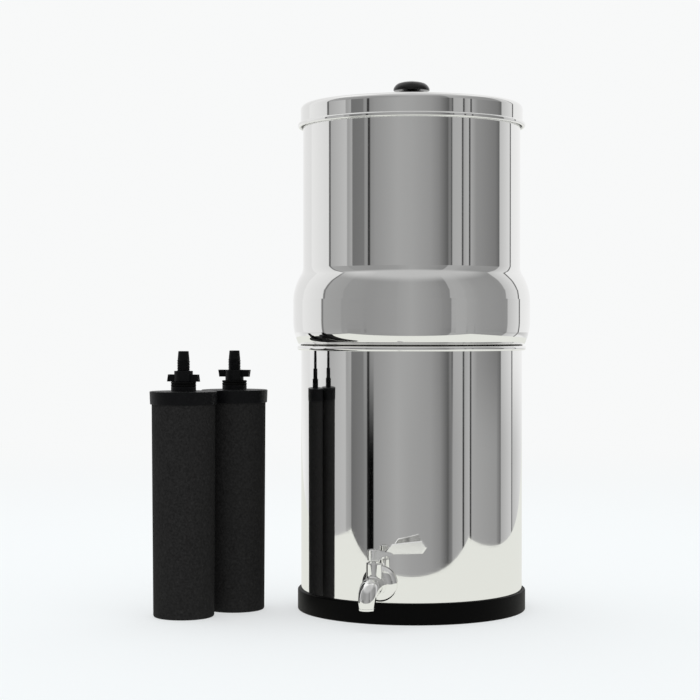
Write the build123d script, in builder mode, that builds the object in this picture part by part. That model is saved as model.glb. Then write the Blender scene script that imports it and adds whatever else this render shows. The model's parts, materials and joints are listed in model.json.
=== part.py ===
from build123d import *
from math import asin, atan, cos, degrees, pi, radians, sin, sqrt, tan
import os

# Gravity water filter: an upper and a lower steel chamber, a lid, a ball-valve tap and two loose
# filter elements that stand beside it. Millimetres. The origin is on the vessel's axis at floor
# level, +Z is up and the tap points along -Y.

os.makedirs("parts", exist_ok=True)

# ---- driving dimensions: vessel ---------------------------------------------------------------
steel = 0.8  # sheet thickness of both chambers
lower_r = 107.95  # outside of the lower chamber
foot_r = 8.0  # rounded bottom corner of the lower chamber
foot_panel_r = 78.0  # stiffening panel pressed up into the lower chamber's bottom
foot_panel_rise = 2.5
base_lip = 3.4  # how far the rubber base ring stands out from the wall
base_h = 19.9
base_floor = 3.0  # rubber under the lower chamber
base_shelf = 16.0  # how far the ring reaches in under the chamber
base_edge = 1.2  # rounding of the ring's outer edges
rim_z = 255.2  # centre of the lower chamber's rolled rim
rim_bead_r = 2.35
seat_gap = 0.3  # between a resting piece and its rolled seat

bulge_stand = 7.85  # how far the upper chamber's bulge stands out from the lower chamber
bulge_h = 24.1  # straight part of the bulge
belly_r = 45.0  # large arc under the bulge
tuck_r = 5.0  # small arc that lands on the rim
tuck_angle = 26.0
tuck_fillet = 1.5
neck_gap = 2.65  # between the lower chamber's inside and the upper chamber's neck
neck_h = 19.5  # how far the neck hangs into the lower chamber
neck_foot_r = 6.0
shoulder_in = 9.7  # the upper wall stands this far inside the bulge
shoulder_h = 30.0
shoulder_convex = 0.62  # share of the shoulder that belongs to its convex arc
upper_wall_h = 154.4  # straight wall above the shoulder
upper_bead_r = 1.3  # rolled rim at the top of the upper chamber

lid_sheet = 0.7
lid_gap = 1.6  # between the upper wall and the lid's skirt
lid_corner = 5.4
lid_skirt_h = 24.1
lid_hem_w = 3.4  # hem rolled outwards along the skirt's lower edge
lid_hem_h = 5.4

# ---- driving dimensions: knob -----------------------------------------------------------------
knob_r = 17.7
knob_h = 23.6
knob_neck_r = 9.5
knob_neck_h = 9.2
knob_foot_r = 1.5
knob_band_low = 14.0  # the grip's upright band, above the lid
knob_band_h = 1.8
knob_crown_r = 37.0  # arc across the top
knob_crown_edge = 12.6  # and how far out it reaches
insert_r = 3.6  # brass insert moulded into the knob
insert_h = 12.0
knob_thread_r = 2.5  # M5 screw
knob_screw_head_r = 4.75
knob_screw_head_h = 2.8
knob_screw_round = 1.4
knob_screw_short = 2.4  # the screw ends this far below the insert's end
knob_washer_r = 7.0
washer_t = 1.0
screw_slot = 1.0  # width and depth of a screw's cross slot

# ---- driving dimensions: filter seats and blanking plugs --------------------------------------
seat_hole_r = 6.5
seat_pitch_r = 58.0  # the holes lie on this radius
seat_start = 45.0  # angle of the first hole
plug_head_r = 11.0
plug_head_h = 3.2
plug_head_round = 1.2
plug_washer_r = 10.0
plug_washer_t = 2.0
plug_shank_gap = 0.4
plug_reach = 11.0  # shank below the chamber's floor
plug_tip = 0.8  # chamfer at the shank's end
plug_nut_r = 10.5
plug_nut_h = 6.0

# ---- driving dimensions: tap ------------------------------------------------------------------
tap_z = 38.0  # height of the tap's horizontal axis
stem_out = 20.05  # stem's axis ahead of the wall
shank_r = 7.9  # threaded shank through the wall
shank_reach = 13.5  # shank inside the chamber
shank_hole_gap = 0.25
port_r = 3.4  # water way
ball_r = 6.2
ball_gap = 0.1  # between the ball and its seats
seat_ring_r = 6.6  # ball seats and the cavity that holds them
seat_ring_in = 3.5  # a seat starts this far from the ball's centre
seat_ring_t = 2.1
chamber_r = 9.3  # outside of the valve chamber
chamber_front = 8.0  # valve chamber ahead of the stem
barrel_r = 8.4  # barrel between flange and chamber
barrel_taper = 5.0
flange_r = 16.7
flange_stand = 1.3  # flange's back ahead of the wall
flange_depth = 6.6
flange_rim = 1.2
flange_step = 3.4  # the barrel's shoulder, ahead of the flange's back
outer_washer_r = 12.0
outer_washer_sink = 1.6  # washer's recess in the flange
inner_washer_r = 12.0
inner_washer_t = 2.6
nut_flats = 22.0
nut_h = 7.0
nut_chamfer = 0.5
boss_r = 7.2  # upright boss that carries the stem
boss_top = 21.8  # above the tap's axis
boss_chamfer = 0.5
stem_r = 3.0
stem_gap = 0.05
collar_r = 4.2  # shoulder that keeps the stem from blowing out
collar_low = 6.9  # above the tap's axis
collar_h = 2.0
collar_gap = 0.1
packing_r = 5.0
packing_low = 12.0
packing_h = 4.0
gland_stand = 1.3  # gland nut above the boss
gland_chamfer = 0.3
tang_t = 2.4  # flat tang on the stem, in the ball's slot
tang_w = 6.0
slot_depth = 2.2
slot_gap = 0.05

spout_bend_r = 17.0  # centre line of the elbow
spout_mouth_r = 7.2
spout_lip_r = 7.35
spout_lip_h = 2.0
spout_bore_mouth_r = 5.3
spout_mouth_round = 0.4  # outer edge of the mouth
spout_sections = 5

hub_r = 6.9
hub_gap = 0.6  # between the gland nut and the lever's hub
hub_h = 10.0
hub_bevel = 0.6
drive_w = 4.2  # square drive at the stem's upper end
drive_sink = 4.8  # its end below the hub's top
lever_screw_r = 1.5
lever_screw_head_r = 3.0
lever_screw_head_h = 2.4
lever_screw_round = 0.6
lever_screw_sink = 3.0
lever_screw_reach = 6.0  # into the stem
lever_gap = 0.1  # around the screw's head and over the stem's end
lever_reach = 50.4  # stem's axis to the lever's tip
lever_t = 2.6
lever_bevel = 0.7
paddle_root = 8.5  # where the paddle's slanted edge starts
paddle_start = 17.6  # where the paddle has its full height
paddle_end = 44.4  # where the tip's slanted edges start
paddle_h = 8.9
paddle_end_h = 9.8
paddle_tilt = 6.0  # the paddle climbs outwards by this angle
paddle_low = 6.9  # its lower edge above the hub's foot, at its start
arm_w = 11.0  # where the arm leaves the hub
arm_low = 0.7  # foot of the gooseneck above the hub's foot
gooseneck_r = 3.0
arm_top = 8.6

# ---- driving dimensions: filter elements ------------------------------------------------------
carbon_top_r = 30.3
carbon_foot_r = 29.0
carbon_h = 202.0
carbon_edge = 2.0
carbon_core_r = 8.0
carbon_core_floor = 25.0
cap_r = 32.3
cap_foot_r = 31.8
cap_h = 12.3
cap_sink = 6.0  # the carbon block's top sits this deep in the cap
cap_edge = 0.6
collar_boss_r = 11.9
collar_boss_h = 4.6
stem_washer_r = 12.0
stem_washer_h = 4.6
lip_groove = 0.9  # depth and half width of the groove between the washer's two lips
filter_stem_r = 6.1
filter_stem_h = 21.4  # above the stem washer
filter_tip_h = 7.6
filter_tip_root_r = 5.6
filter_tip_r = 4.9
filter_tip_edge = 0.5
filter_bore_r = 2.6
nut_bore_gap = 0.05
wing_hub_r = 8.9
wing_nut_h = 10.2
wing_h = 6.8
wing_span = 31.2
wing_t = 5.0
wing_slope = 1.0  # each wing is this much longer along its wide edge
wing_round = 1.2
pair_clear = 25.1  # second element clear of the bulge
pair_gap = 0.5  # between the two elements
pair_angle = 199.9  # where the second element stands
pair_turn = 243.0  # direction from the second element to the first

# ---- sizes that follow ------------------------------------------------------------------------
base_r = lower_r + base_lip
lower_in_r = lower_r - steel
rim_r = lower_in_r + rim_bead_r
foot_z = base_floor + foot_r
bulge_r = lower_r + bulge_stand
upper_r = bulge_r - shoulder_in
neck_r = lower_in_r - neck_gap

# The small arc under the bulge rests on the rim's bead; the large arc above it is tangent to it.
tuck_x = bulge_r - belly_r + (belly_r - tuck_r) * cos(radians(tuck_angle))
tuck_z = rim_z + sqrt((tuck_r + rim_bead_r + seat_gap) ** 2 - (rim_r - tuck_x) ** 2)
belly_z = tuck_z + (belly_r - tuck_r) * sin(radians(tuck_angle))
neck_top_z = tuck_z - tuck_r
upper_floor_z = neck_top_z - neck_h
bulge_top_z = belly_z + bulge_h
shoulder_z = bulge_top_z + shoulder_h
upper_rim_z = shoulder_z + upper_wall_h

lid_r = upper_r + lid_gap + lid_sheet
lid_top_z = upper_rim_z + upper_bead_r + lid_corner / 2  # its rounded corner lands on the rim
lid_hem_z = lid_top_z - lid_skirt_h + lid_hem_h / 2

flange_u = lower_r + flange_stand
stem_u = lower_r + stem_out  # stem's axis from the vessel's axis
front_u = stem_u + chamber_front
shank_u = lower_in_r - shank_reach
hub_z = tap_z + boss_top + gland_stand + hub_gap
hub_top_z = hub_z + hub_h

side = Plane(origin=(0, 0, 0), x_dir=(0, -1, 0), z_dir=(-1, 0, 0))  # (distance out, height)
tap_axis = Axis((0, 0, tap_z), (0, -1, 0))
stem_axis = Axis((0, -stem_u, 0), (0, 0, 1))


def out_plane(u):
    """Plane across the tap's axis, u from the vessel's axis, facing outwards."""
    return Plane(origin=(0, -u, tap_z), x_dir=(1, 0, 0), z_dir=(0, -1, 0))


def stem_plane(z):
    """Level plane at height z, centred on the tap's stem."""
    return Plane(origin=(0, -stem_u, z))


def keep(piece, name):
    """Names a finished piece and writes it."""
    piece.label = name
    export_step(piece, f"parts/{name}.step")


# ---- lower chamber ----------------------------------------------------------------------------
with BuildPart() as lower_shell:
    with BuildSketch(Plane.XY.offset(base_floor)):
        Circle(lower_r)
    extrude(amount=rim_z - base_floor)
    fillet(lower_shell.edges().group_by(Axis.Z)[0], radius=foot_r)
    with BuildSketch(Plane.XY.offset(base_floor)):
        Circle(foot_panel_r)
    extrude(amount=foot_panel_rise, taper=30, mode=Mode.SUBTRACT)
    offset(amount=-steel, openings=lower_shell.faces().sort_by(Axis.Z)[-1])

with BuildPart() as lower_chamber_wall:
    add(lower_shell.part)
    split(bisect_by=Plane.XY.offset(foot_z), keep=Keep.TOP)
    with BuildSketch(Plane.XZ):
        with Locations((rim_r, rim_z)):
            Circle(rim_bead_r)
    revolve(axis=Axis.Z)
    with BuildSketch(out_plane(0)):
        Circle(shank_r + shank_hole_gap)
    extrude(amount=base_r, mode=Mode.SUBTRACT)
keep(lower_chamber_wall.part, "lower_chamber_wall")

with BuildPart() as lower_chamber_floor:
    add(lower_shell.part)
    split(bisect_by=Plane.XY.offset(foot_z), keep=Keep.BOTTOM)
keep(lower_chamber_floor.part, "lower_chamber_floor")

with BuildPart() as base_ring:
    with BuildSketch(Plane.XZ):
        with BuildLine():
            shelf_line = Line((lower_r - base_shelf, base_floor), (lower_r - foot_r, base_floor))
            seat_arc = TangentArc(shelf_line @ 1, (lower_r, foot_z), tangent=(1, 0))
            Polyline(seat_arc @ 1, (lower_r, base_h), (base_r, base_h), (base_r, 0), (lower_r - base_shelf, 0),
                     shelf_line @ 0)
        make_face()
    revolve(axis=Axis.Z)
    outer_edges = base_ring.edges().filter_by(GeomType.CIRCLE).group_by(SortBy.RADIUS)[-1]
    fillet(outer_edges, radius=base_edge)
keep(base_ring.part, "base_ring")

# ---- upper chamber ----------------------------------------------------------------------------
lean = 2 * atan(shoulder_in / shoulder_h)  # steepest lean of the shoulder
arcs_r = shoulder_h / sin(lean)  # both arcs' radii together
convex_r = arcs_r * shoulder_convex
shoulder_mid = (bulge_r - convex_r * (1 - cos(lean)), bulge_top_z + convex_r * sin(lean))
tuck_end = (tuck_x + tuck_r * cos(radians(tuck_angle)), tuck_z - tuck_r * sin(radians(tuck_angle)))

with BuildPart() as upper_shell:
    with BuildSketch(Plane.XZ):
        with BuildLine():
            floor_line = Line((0, upper_floor_z), (neck_r - neck_foot_r, upper_floor_z))
            foot_arc = TangentArc(floor_line @ 1, (neck_r, upper_floor_z + neck_foot_r), tangent=(1, 0))
            neck_line = Line(foot_arc @ 1, (neck_r, neck_top_z - tuck_fillet))
            neck_arc = TangentArc(neck_line @ 1, (neck_r + tuck_fillet, neck_top_z), tangent=(0, 1))
            under_line = Line(neck_arc @ 1, (tuck_x, neck_top_z))
            tuck_arc = TangentArc(under_line @ 1, tuck_end, tangent=(1, 0))
            belly_arc = TangentArc(tuck_arc @ 1, (bulge_r, belly_z), tangent=tuck_arc % 1)
            bulge_line = Line(belly_arc @ 1, (bulge_r, bulge_top_z))
            convex_arc = TangentArc(bulge_line @ 1, shoulder_mid, tangent=(0, 1))
            concave_arc = TangentArc(convex_arc @ 1, (upper_r, shoulder_z), tangent=convex_arc % 1)
            wall_line = Line(concave_arc @ 1, (upper_r, upper_rim_z))
            Polyline(wall_line @ 1, (0, upper_rim_z), (0, upper_floor_z))
        make_face()
    revolve(axis=Axis.Z)
    offset(amount=-steel, openings=upper_shell.faces().sort_by(Axis.Z)[-1])

with BuildPart() as upper_chamber_wall:
    add(upper_shell.part)
    split(bisect_by=Plane.XY.offset(upper_floor_z + neck_foot_r), keep=Keep.TOP)
    with BuildSketch(Plane.XZ):
        with Locations((upper_r - steel / 2, upper_rim_z)):
            Circle(upper_bead_r)
    revolve(axis=Axis.Z)
keep(upper_chamber_wall.part, "upper_chamber_wall")

with BuildPart() as upper_chamber_floor:
    add(upper_shell.part)
    split(bisect_by=Plane.XY.offset(upper_floor_z + neck_foot_r), keep=Keep.BOTTOM)
    with BuildSketch(Plane.XY.offset(upper_floor_z)):
        with PolarLocations(seat_pitch_r, 4, start_angle=seat_start):
            Circle(seat_hole_r)
    extrude(amount=steel, mode=Mode.SUBTRACT)
keep(upper_chamber_floor.part, "upper_chamber_floor")


# ---- blanking plugs in two of the four seats --------------------------------------------------
def plugged_seats():
    """The two seats, opposite each other, that are closed with plugs."""
    return PolarLocations(seat_pitch_r, 2, start_angle=seat_start + 90)


floor_top_z = upper_floor_z + steel
plug_shank_r = seat_hole_r - plug_shank_gap

with BuildPart() as blanking_washers:
    with BuildSketch(Plane.XY.offset(floor_top_z)):
        with plugged_seats():
            Circle(plug_washer_r)
            Circle(plug_shank_r, mode=Mode.SUBTRACT)
    extrude(amount=plug_washer_t)
keep(blanking_washers.part, "blanking_washers")

with BuildPart() as blanking_plugs:
    with BuildSketch(Plane.XY.offset(floor_top_z + plug_washer_t)):
        with plugged_seats():
            Circle(plug_head_r)
    extrude(amount=plug_head_h)
    fillet(blanking_plugs.edges().group_by(Axis.Z)[-1], radius=plug_head_round)
    with BuildSketch(Plane.XY.offset(upper_floor_z - plug_reach)):
        with plugged_seats():
            Circle(plug_shank_r)
    extrude(amount=plug_reach + steel + plug_washer_t)
    chamfer(blanking_plugs.edges().group_by(Axis.Z)[0], length=plug_tip)
keep(blanking_plugs.part, "blanking_plugs")

with BuildPart() as blanking_nuts:
    with BuildSketch(Plane.XY.offset(upper_floor_z - plug_nut_h)):
        with plugged_seats():
            RegularPolygon(plug_nut_r, 6)
            Circle(plug_shank_r, mode=Mode.SUBTRACT)
    extrude(amount=plug_nut_h)
keep(blanking_nuts.part, "blanking_nuts")

# ---- lid --------------------------------------------------------------------------------------
with BuildPart() as lid:
    with BuildSketch(Plane.XY.offset(lid_top_z)):
        Circle(lid_r)
    extrude(amount=-lid_skirt_h)
    fillet(lid.edges().group_by(Axis.Z)[-1], radius=lid_corner)
    offset(amount=-lid_sheet, openings=lid.faces().sort_by(Axis.Z)[0])
    with BuildSketch(Plane.XZ):
        with Locations((lid_r - lid_sheet + lid_hem_w / 2, lid_hem_z)):
            SlotOverall(lid_hem_h, lid_hem_w, rotation=90)
    revolve(axis=Axis.Z)
    with BuildSketch(Plane.XY.offset(lid_top_z)):
        Circle(knob_thread_r)
    extrude(amount=-lid_sheet, mode=Mode.SUBTRACT)
keep(lid.part, "lid")

knob_top_z = lid_top_z + knob_h
band_z = lid_top_z + knob_band_low
with BuildPart() as lid_knob:
    with BuildSketch(Plane.XZ):
        with BuildLine():
            crown = CenterArc((0, knob_top_z - knob_crown_r), knob_crown_r, 90,
                              -degrees(asin(knob_crown_edge / knob_crown_r)))
            grip = TangentArc(crown @ 1, (knob_r, band_z + knob_band_h), tangent=crown % 1)
            band = Line(grip @ 1, (knob_r, band_z))
            under = TangentArc((knob_neck_r, lid_top_z + knob_neck_h), band @ 1, tangent=(0.25, 1))
            neck = Line(under @ 0, (knob_neck_r, lid_top_z + knob_foot_r))
            foot = TangentArc(neck @ 1, (knob_neck_r + knob_foot_r, lid_top_z), tangent=(0, -1))
            Polyline(foot @ 1, (0, lid_top_z), crown @ 0)
        make_face()
    revolve(axis=Axis.Z)
    with BuildSketch(Plane.XY.offset(lid_top_z)):
        Circle(insert_r)
    extrude(amount=insert_h, mode=Mode.SUBTRACT)
keep(lid_knob.part, "lid_knob")

with BuildPart() as knob_insert:
    with BuildSketch(Plane.XY.offset(lid_top_z)):
        Circle(insert_r)
        Circle(knob_thread_r, mode=Mode.SUBTRACT)
    extrude(amount=insert_h)
keep(knob_insert.part, "knob_insert")

knob_washer_z = lid_top_z - lid_sheet - washer_t
with BuildPart() as knob_washer:
    with BuildSketch(Plane.XY.offset(knob_washer_z)):
        Circle(knob_washer_r)
        Circle(knob_thread_r, mode=Mode.SUBTRACT)
    extrude(amount=washer_t)
keep(knob_washer.part, "knob_washer")

with BuildPart() as knob_screw:
    with BuildSketch(Plane.XY.offset(knob_washer_z)):
        Circle(knob_screw_head_r)
    extrude(amount=-knob_screw_head_h)
    fillet(knob_screw.edges().group_by(Axis.Z)[0], radius=knob_screw_round)
    with BuildSketch(Plane.XY.offset(knob_washer_z)):
        Circle(knob_thread_r)
    extrude(amount=washer_t + lid_sheet + insert_h - knob_screw_short)
    with BuildSketch(Plane.XY.offset(knob_washer_z - knob_screw_head_h)):
        Rectangle(knob_screw_head_r, screw_slot)
        Rectangle(screw_slot, knob_screw_head_r)
    extrude(amount=screw_slot, mode=Mode.SUBTRACT)
keep(knob_screw.part, "knob_screw")

# ---- tap: flange, washers and nut that clamp it through the wall ------------------------------
with BuildPart() as tap_flange:
    with BuildSketch(side):
        with BuildLine():
            back_line = Line((flange_u, tap_z + shank_r), (flange_u, tap_z + flange_r))
            rim_line = Line(back_line @ 1, (flange_u + flange_rim, tap_z + flange_r))
            dome_arc = TangentArc(rim_line @ 1, (flange_u + flange_depth, tap_z + barrel_r), tangent=(0.75, -0.42))
            Polyline(dome_arc @ 1, (flange_u + flange_step, tap_z + barrel_r),
                     (flange_u + flange_step, tap_z + shank_r), back_line @ 0)
        make_face()
    revolve(axis=tap_axis)
    with BuildSketch(out_plane(flange_u)):
        Circle(outer_washer_r)
    extrude(amount=outer_washer_sink, mode=Mode.SUBTRACT)
keep(tap_flange.part, "tap_flange")

with BuildPart() as tap_outer_washer:
    with BuildSketch(out_plane(lower_in_r)):
        Circle(outer_washer_r)
        Circle(shank_r, mode=Mode.SUBTRACT)
    extrude(amount=flange_u + outer_washer_sink - lower_in_r)
    with BuildSketch(Plane.XY):  # its back follows the wall
        Circle(lower_r)
    extrude(amount=rim_z, mode=Mode.SUBTRACT)
keep(tap_outer_washer.part, "tap_outer_washer")

washer_back_u = lower_in_r - inner_washer_t
with BuildPart() as tap_inner_washer:
    with BuildSketch(Plane.XY):
        Circle(lower_in_r)
    extrude(amount=rim_z)
    with BuildSketch(out_plane(washer_back_u)):
        Circle(inner_washer_r)
        Circle(shank_r, mode=Mode.SUBTRACT)
    extrude(amount=inner_washer_t, mode=Mode.INTERSECT)
keep(tap_inner_washer.part, "tap_inner_washer")

with BuildPart() as tap_nut:
    with BuildSketch(out_plane(washer_back_u)):
        RegularPolygon(nut_flats / 2, 6, major_radius=False)
        Circle(shank_r, mode=Mode.SUBTRACT)
    extrude(amount=-nut_h)
    chamfer(tap_nut.edges().filter_by(GeomType.CIRCLE).group_by(Axis.Y)[-1], length=nut_chamfer)
keep(tap_nut.part, "tap_nut")

# ---- tap: body ---------------------------------------------------------------------------------
cavity_back_u = stem_u - seat_ring_in - seat_ring_t
boss_z = tap_z + boss_top
collar_z = tap_z + collar_low
packing_z = tap_z + packing_low

with BuildPart() as tap_body:
    with BuildSketch(side):
        with BuildLine():
            shank_line = Polyline((shank_u, tap_z), (shank_u, tap_z + shank_r),
                                  (flange_u + flange_step, tap_z + shank_r),
                                  (flange_u + flange_step, tap_z + barrel_r))
            barrel_line = Line(shank_line @ 1, (flange_u + flange_depth, tap_z + barrel_r))
            swell_arc = TangentArc(barrel_line @ 1, (flange_u + flange_depth + barrel_taper, tap_z + chamber_r),
                                   tangent=(1, 0))
            Polyline(swell_arc @ 1, (front_u, tap_z + chamber_r), (front_u, tap_z), (shank_u, tap_z))
        make_face()
    revolve(axis=tap_axis)
    with BuildSketch(stem_plane(tap_z)):
        Circle(boss_r)
    extrude(amount=boss_top)
    chamfer(tap_body.edges().group_by(Axis.Z)[-1], length=boss_chamfer)
    with BuildSketch(out_plane(shank_u)):
        Circle(port_r)
    extrude(amount=front_u - shank_u, mode=Mode.SUBTRACT)
    with BuildSketch(out_plane(cavity_back_u)):
        Circle(seat_ring_r)
    extrude(amount=front_u - cavity_back_u, mode=Mode.SUBTRACT)
    with BuildSketch(stem_plane(tap_z)):
        Circle(collar_r + collar_gap)
    extrude(amount=collar_low + collar_h + collar_gap, mode=Mode.SUBTRACT)
    with BuildSketch(stem_plane(tap_z)):
        Circle(stem_r + stem_gap)
    extrude(amount=packing_low, mode=Mode.SUBTRACT)
    with BuildSketch(stem_plane(packing_z)):
        Circle(packing_r)
    extrude(amount=boss_top - packing_low, mode=Mode.SUBTRACT)
keep(tap_body.part, "tap_body")


def ball_seat(name, sign):
    """A ring that the ball turns against; sign -1 is behind the ball, 1 ahead of it."""
    with BuildPart() as seat:
        with BuildSketch(out_plane(stem_u + sign * seat_ring_in)):
            Circle(seat_ring_r)
            Circle(port_r, mode=Mode.SUBTRACT)
        extrude(amount=sign * seat_ring_t)
        with Locations((0, -stem_u, tap_z)):
            Sphere(ball_r + ball_gap, mode=Mode.SUBTRACT)
    keep(seat.part, name)


ball_seat("ball_seat_rear", -1)
ball_seat("ball_seat_front", 1)

with BuildPart() as stem_packing:
    with BuildSketch(stem_plane(packing_z)):
        Circle(packing_r)
        Circle(stem_r + stem_gap, mode=Mode.SUBTRACT)
    extrude(amount=packing_h)
keep(stem_packing.part, "stem_packing")

with BuildPart() as gland_nut:
    with BuildSketch(stem_plane(packing_z + packing_h)):
        Circle(packing_r)
        Circle(stem_r + stem_gap, mode=Mode.SUBTRACT)
    extrude(amount=boss_top + gland_stand - packing_low - packing_h)
    chamfer(gland_nut.edges().group_by(Axis.Z)[-1], length=gland_chamfer)
keep(gland_nut.part, "gland_nut")


# ---- tap: spout --------------------------------------------------------------------------------
def bend_plane(share):
    """Plane across the elbow's centre line; share runs from 0 at the body to 1 at the mouth."""
    turn = share * pi / 2
    centre_u = front_u + spout_bend_r * sin(turn)
    centre_z = tap_z - spout_bend_r * (1 - cos(turn))
    return Plane(origin=(0, -centre_u, centre_z), x_dir=(1, 0, 0), z_dir=(0, -cos(turn), -sin(turn)))


def bend_radius(share, root, mouth):
    """The elbow narrows slowly at first and faster towards its mouth."""
    return root - (root - mouth) * share**2


shares = [i / (spout_sections - 1) for i in range(spout_sections)]
with BuildPart() as tap_spout:
    for share in shares:
        with BuildSketch(bend_plane(share)):
            Circle(bend_radius(share, chamber_r, spout_mouth_r))
    loft()
    with BuildSketch(bend_plane(1)):
        Circle(spout_lip_r)
    extrude(amount=spout_lip_h)
    with BuildSketch(out_plane(front_u)):
        Circle(seat_ring_r)
    extrude(amount=seat_ring_in + seat_ring_t - chamber_front)
    for share in shares:
        with BuildSketch(bend_plane(share)):
            Circle(bend_radius(share, port_r, spout_bore_mouth_r))
    loft(mode=Mode.SUBTRACT)
    with BuildSketch(out_plane(front_u)):
        Circle(port_r)
    extrude(amount=seat_ring_in + seat_ring_t - chamber_front, mode=Mode.SUBTRACT)
    with BuildSketch(bend_plane(1)):
        Circle(spout_bore_mouth_r)
    extrude(amount=spout_lip_h, mode=Mode.SUBTRACT)
    mouth_edges = tap_spout.edges().group_by(Axis.Z)[0].sort_by(SortBy.RADIUS)
    fillet(mouth_edges[-1], radius=spout_mouth_round)
keep(tap_spout.part, "tap_spout")

# ---- tap: ball, stem and lever ------------------------------------------------------------------
with BuildPart() as valve_ball:
    with Locations((0, -stem_u, tap_z)):
        Sphere(ball_r)
        Cylinder(port_r, 2 * ball_r, rotation=(0, 90, 0), mode=Mode.SUBTRACT)
    with BuildSketch(stem_plane(tap_z + ball_r)):
        Rectangle(tang_t + 2 * slot_gap, 2 * ball_r)
    extrude(amount=-slot_depth, mode=Mode.SUBTRACT)
keep(valve_ball.part, "valve_ball")

stem_top_z = hub_top_z - drive_sink
with BuildPart() as valve_stem:
    with BuildSketch(stem_plane(collar_z)):
        Circle(collar_r)
    extrude(amount=collar_h)
    with BuildSketch(stem_plane(collar_z)):
        Circle(stem_r)
    extrude(amount=hub_z - collar_z)
    with BuildSketch(stem_plane(hub_z)):
        Rectangle(drive_w, drive_w)
    extrude(amount=stem_top_z - hub_z)
    with BuildSketch(stem_plane(collar_z)):
        Rectangle(tang_t, tang_w)
    extrude(amount=slot_gap - slot_depth - collar_low + ball_r)
    with BuildSketch(stem_plane(stem_top_z)):
        Circle(lever_screw_r)
    extrude(amount=-lever_screw_reach, mode=Mode.SUBTRACT)
keep(valve_stem.part, "valve_stem")

lever_side = Plane(origin=(0, -stem_u, 0), x_dir=(1, 0, 0), z_dir=(0, -1, 0))  # (out along X, height)
paddle_z = hub_z + paddle_low
tip_z = paddle_z + (paddle_end - paddle_start) * tan(radians(paddle_tilt))

with BuildPart() as lever_arm:  # its side view, cut to its plan
    with BuildSketch(lever_side):
        with BuildLine():
            arm_foot = Line((0, hub_z + arm_low), (hub_r, hub_z + arm_low))
            gooseneck = TangentArc(arm_foot @ 1, (hub_r + gooseneck_r, hub_z + arm_low + gooseneck_r), tangent=(0, 1))
            Polyline(gooseneck @ 1, (paddle_start + lever_t / 2, paddle_z), (paddle_start, paddle_z + lever_t / 2),
                     (paddle_root, hub_z + arm_top), (0, hub_z + arm_top), arm_foot @ 0)
        make_face()
    extrude(amount=arm_w / 2, both=True)
    with BuildSketch(stem_plane(hub_z)):
        Polygon((0, -arm_w / 2), (hub_r, -arm_w / 2), (paddle_start + lever_t / 2, -lever_t / 2),
                (paddle_start + lever_t / 2, lever_t / 2), (hub_r, arm_w / 2), (0, arm_w / 2), align=None)
    extrude(amount=hub_h, mode=Mode.INTERSECT)

with BuildPart() as tap_lever:
    with BuildSketch(lever_side):
        Polygon((paddle_root, paddle_z), (paddle_start, paddle_z + paddle_h), (paddle_end, tip_z + paddle_end_h),
                (lever_reach, tip_z + paddle_end_h / 2), (paddle_end + lever_t, tip_z), (paddle_start, paddle_z),
                align=None)
    extrude(amount=lever_t / 2, both=True)
    front_face = tap_lever.faces().sort_by(Axis.Y)[0]
    back_face = tap_lever.faces().sort_by(Axis.Y)[-1]
    tip_edges = (front_face.edges() + back_face.edges()).filter_by_position(Axis.X, paddle_end, lever_reach)
    chamfer(tip_edges, length=lever_bevel)
    add(lever_arm.part)
    with BuildSketch(stem_plane(hub_z)):
        Circle(hub_r)
    extrude(amount=hub_h)
    rims = tap_lever.edges().filter_by(GeomType.CIRCLE).group_by(Axis.Z)
    chamfer(rims[0] + rims[-1], length=hub_bevel)
    with BuildSketch(stem_plane(hub_z)):
        Rectangle(drive_w + 2 * slot_gap, drive_w + 2 * slot_gap)
    extrude(amount=stem_top_z + lever_gap - hub_z, mode=Mode.SUBTRACT)
    with BuildSketch(stem_plane(hub_top_z)):
        Circle(lever_screw_r + lever_gap)
    extrude(amount=-drive_sink, mode=Mode.SUBTRACT)
    with BuildSketch(stem_plane(hub_top_z)):
        Circle(lever_screw_head_r + lever_gap)
    extrude(amount=-lever_screw_sink, mode=Mode.SUBTRACT)
keep(tap_lever.part, "tap_lever")

screw_head_z = hub_top_z - lever_screw_sink
with BuildPart() as lever_screw:
    with BuildSketch(stem_plane(screw_head_z)):
        Circle(lever_screw_head_r)
    extrude(amount=lever_screw_head_h)
    fillet(lever_screw.edges().group_by(Axis.Z)[-1], radius=lever_screw_round)
    with BuildSketch(stem_plane(screw_head_z)):
        Circle(lever_screw_r)
    extrude(amount=lever_screw_sink - drive_sink - lever_screw_reach)
    with BuildSketch(stem_plane(screw_head_z + lever_screw_head_h)):
        Rectangle(lever_screw_head_r, screw_slot)
        Rectangle(screw_slot, lever_screw_head_r)
    extrude(amount=-screw_slot, mode=Mode.SUBTRACT)
keep(lever_screw.part, "lever_screw")

# ---- filter elements ------------------------------------------------------------------------------
cap_top_z = carbon_h + cap_h
boss_top_z = cap_top_z + collar_boss_h
nut_z = boss_top_z + stem_washer_h
thread_top_z = nut_z + filter_stem_h
filter_top_z = thread_top_z + filter_tip_h


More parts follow.
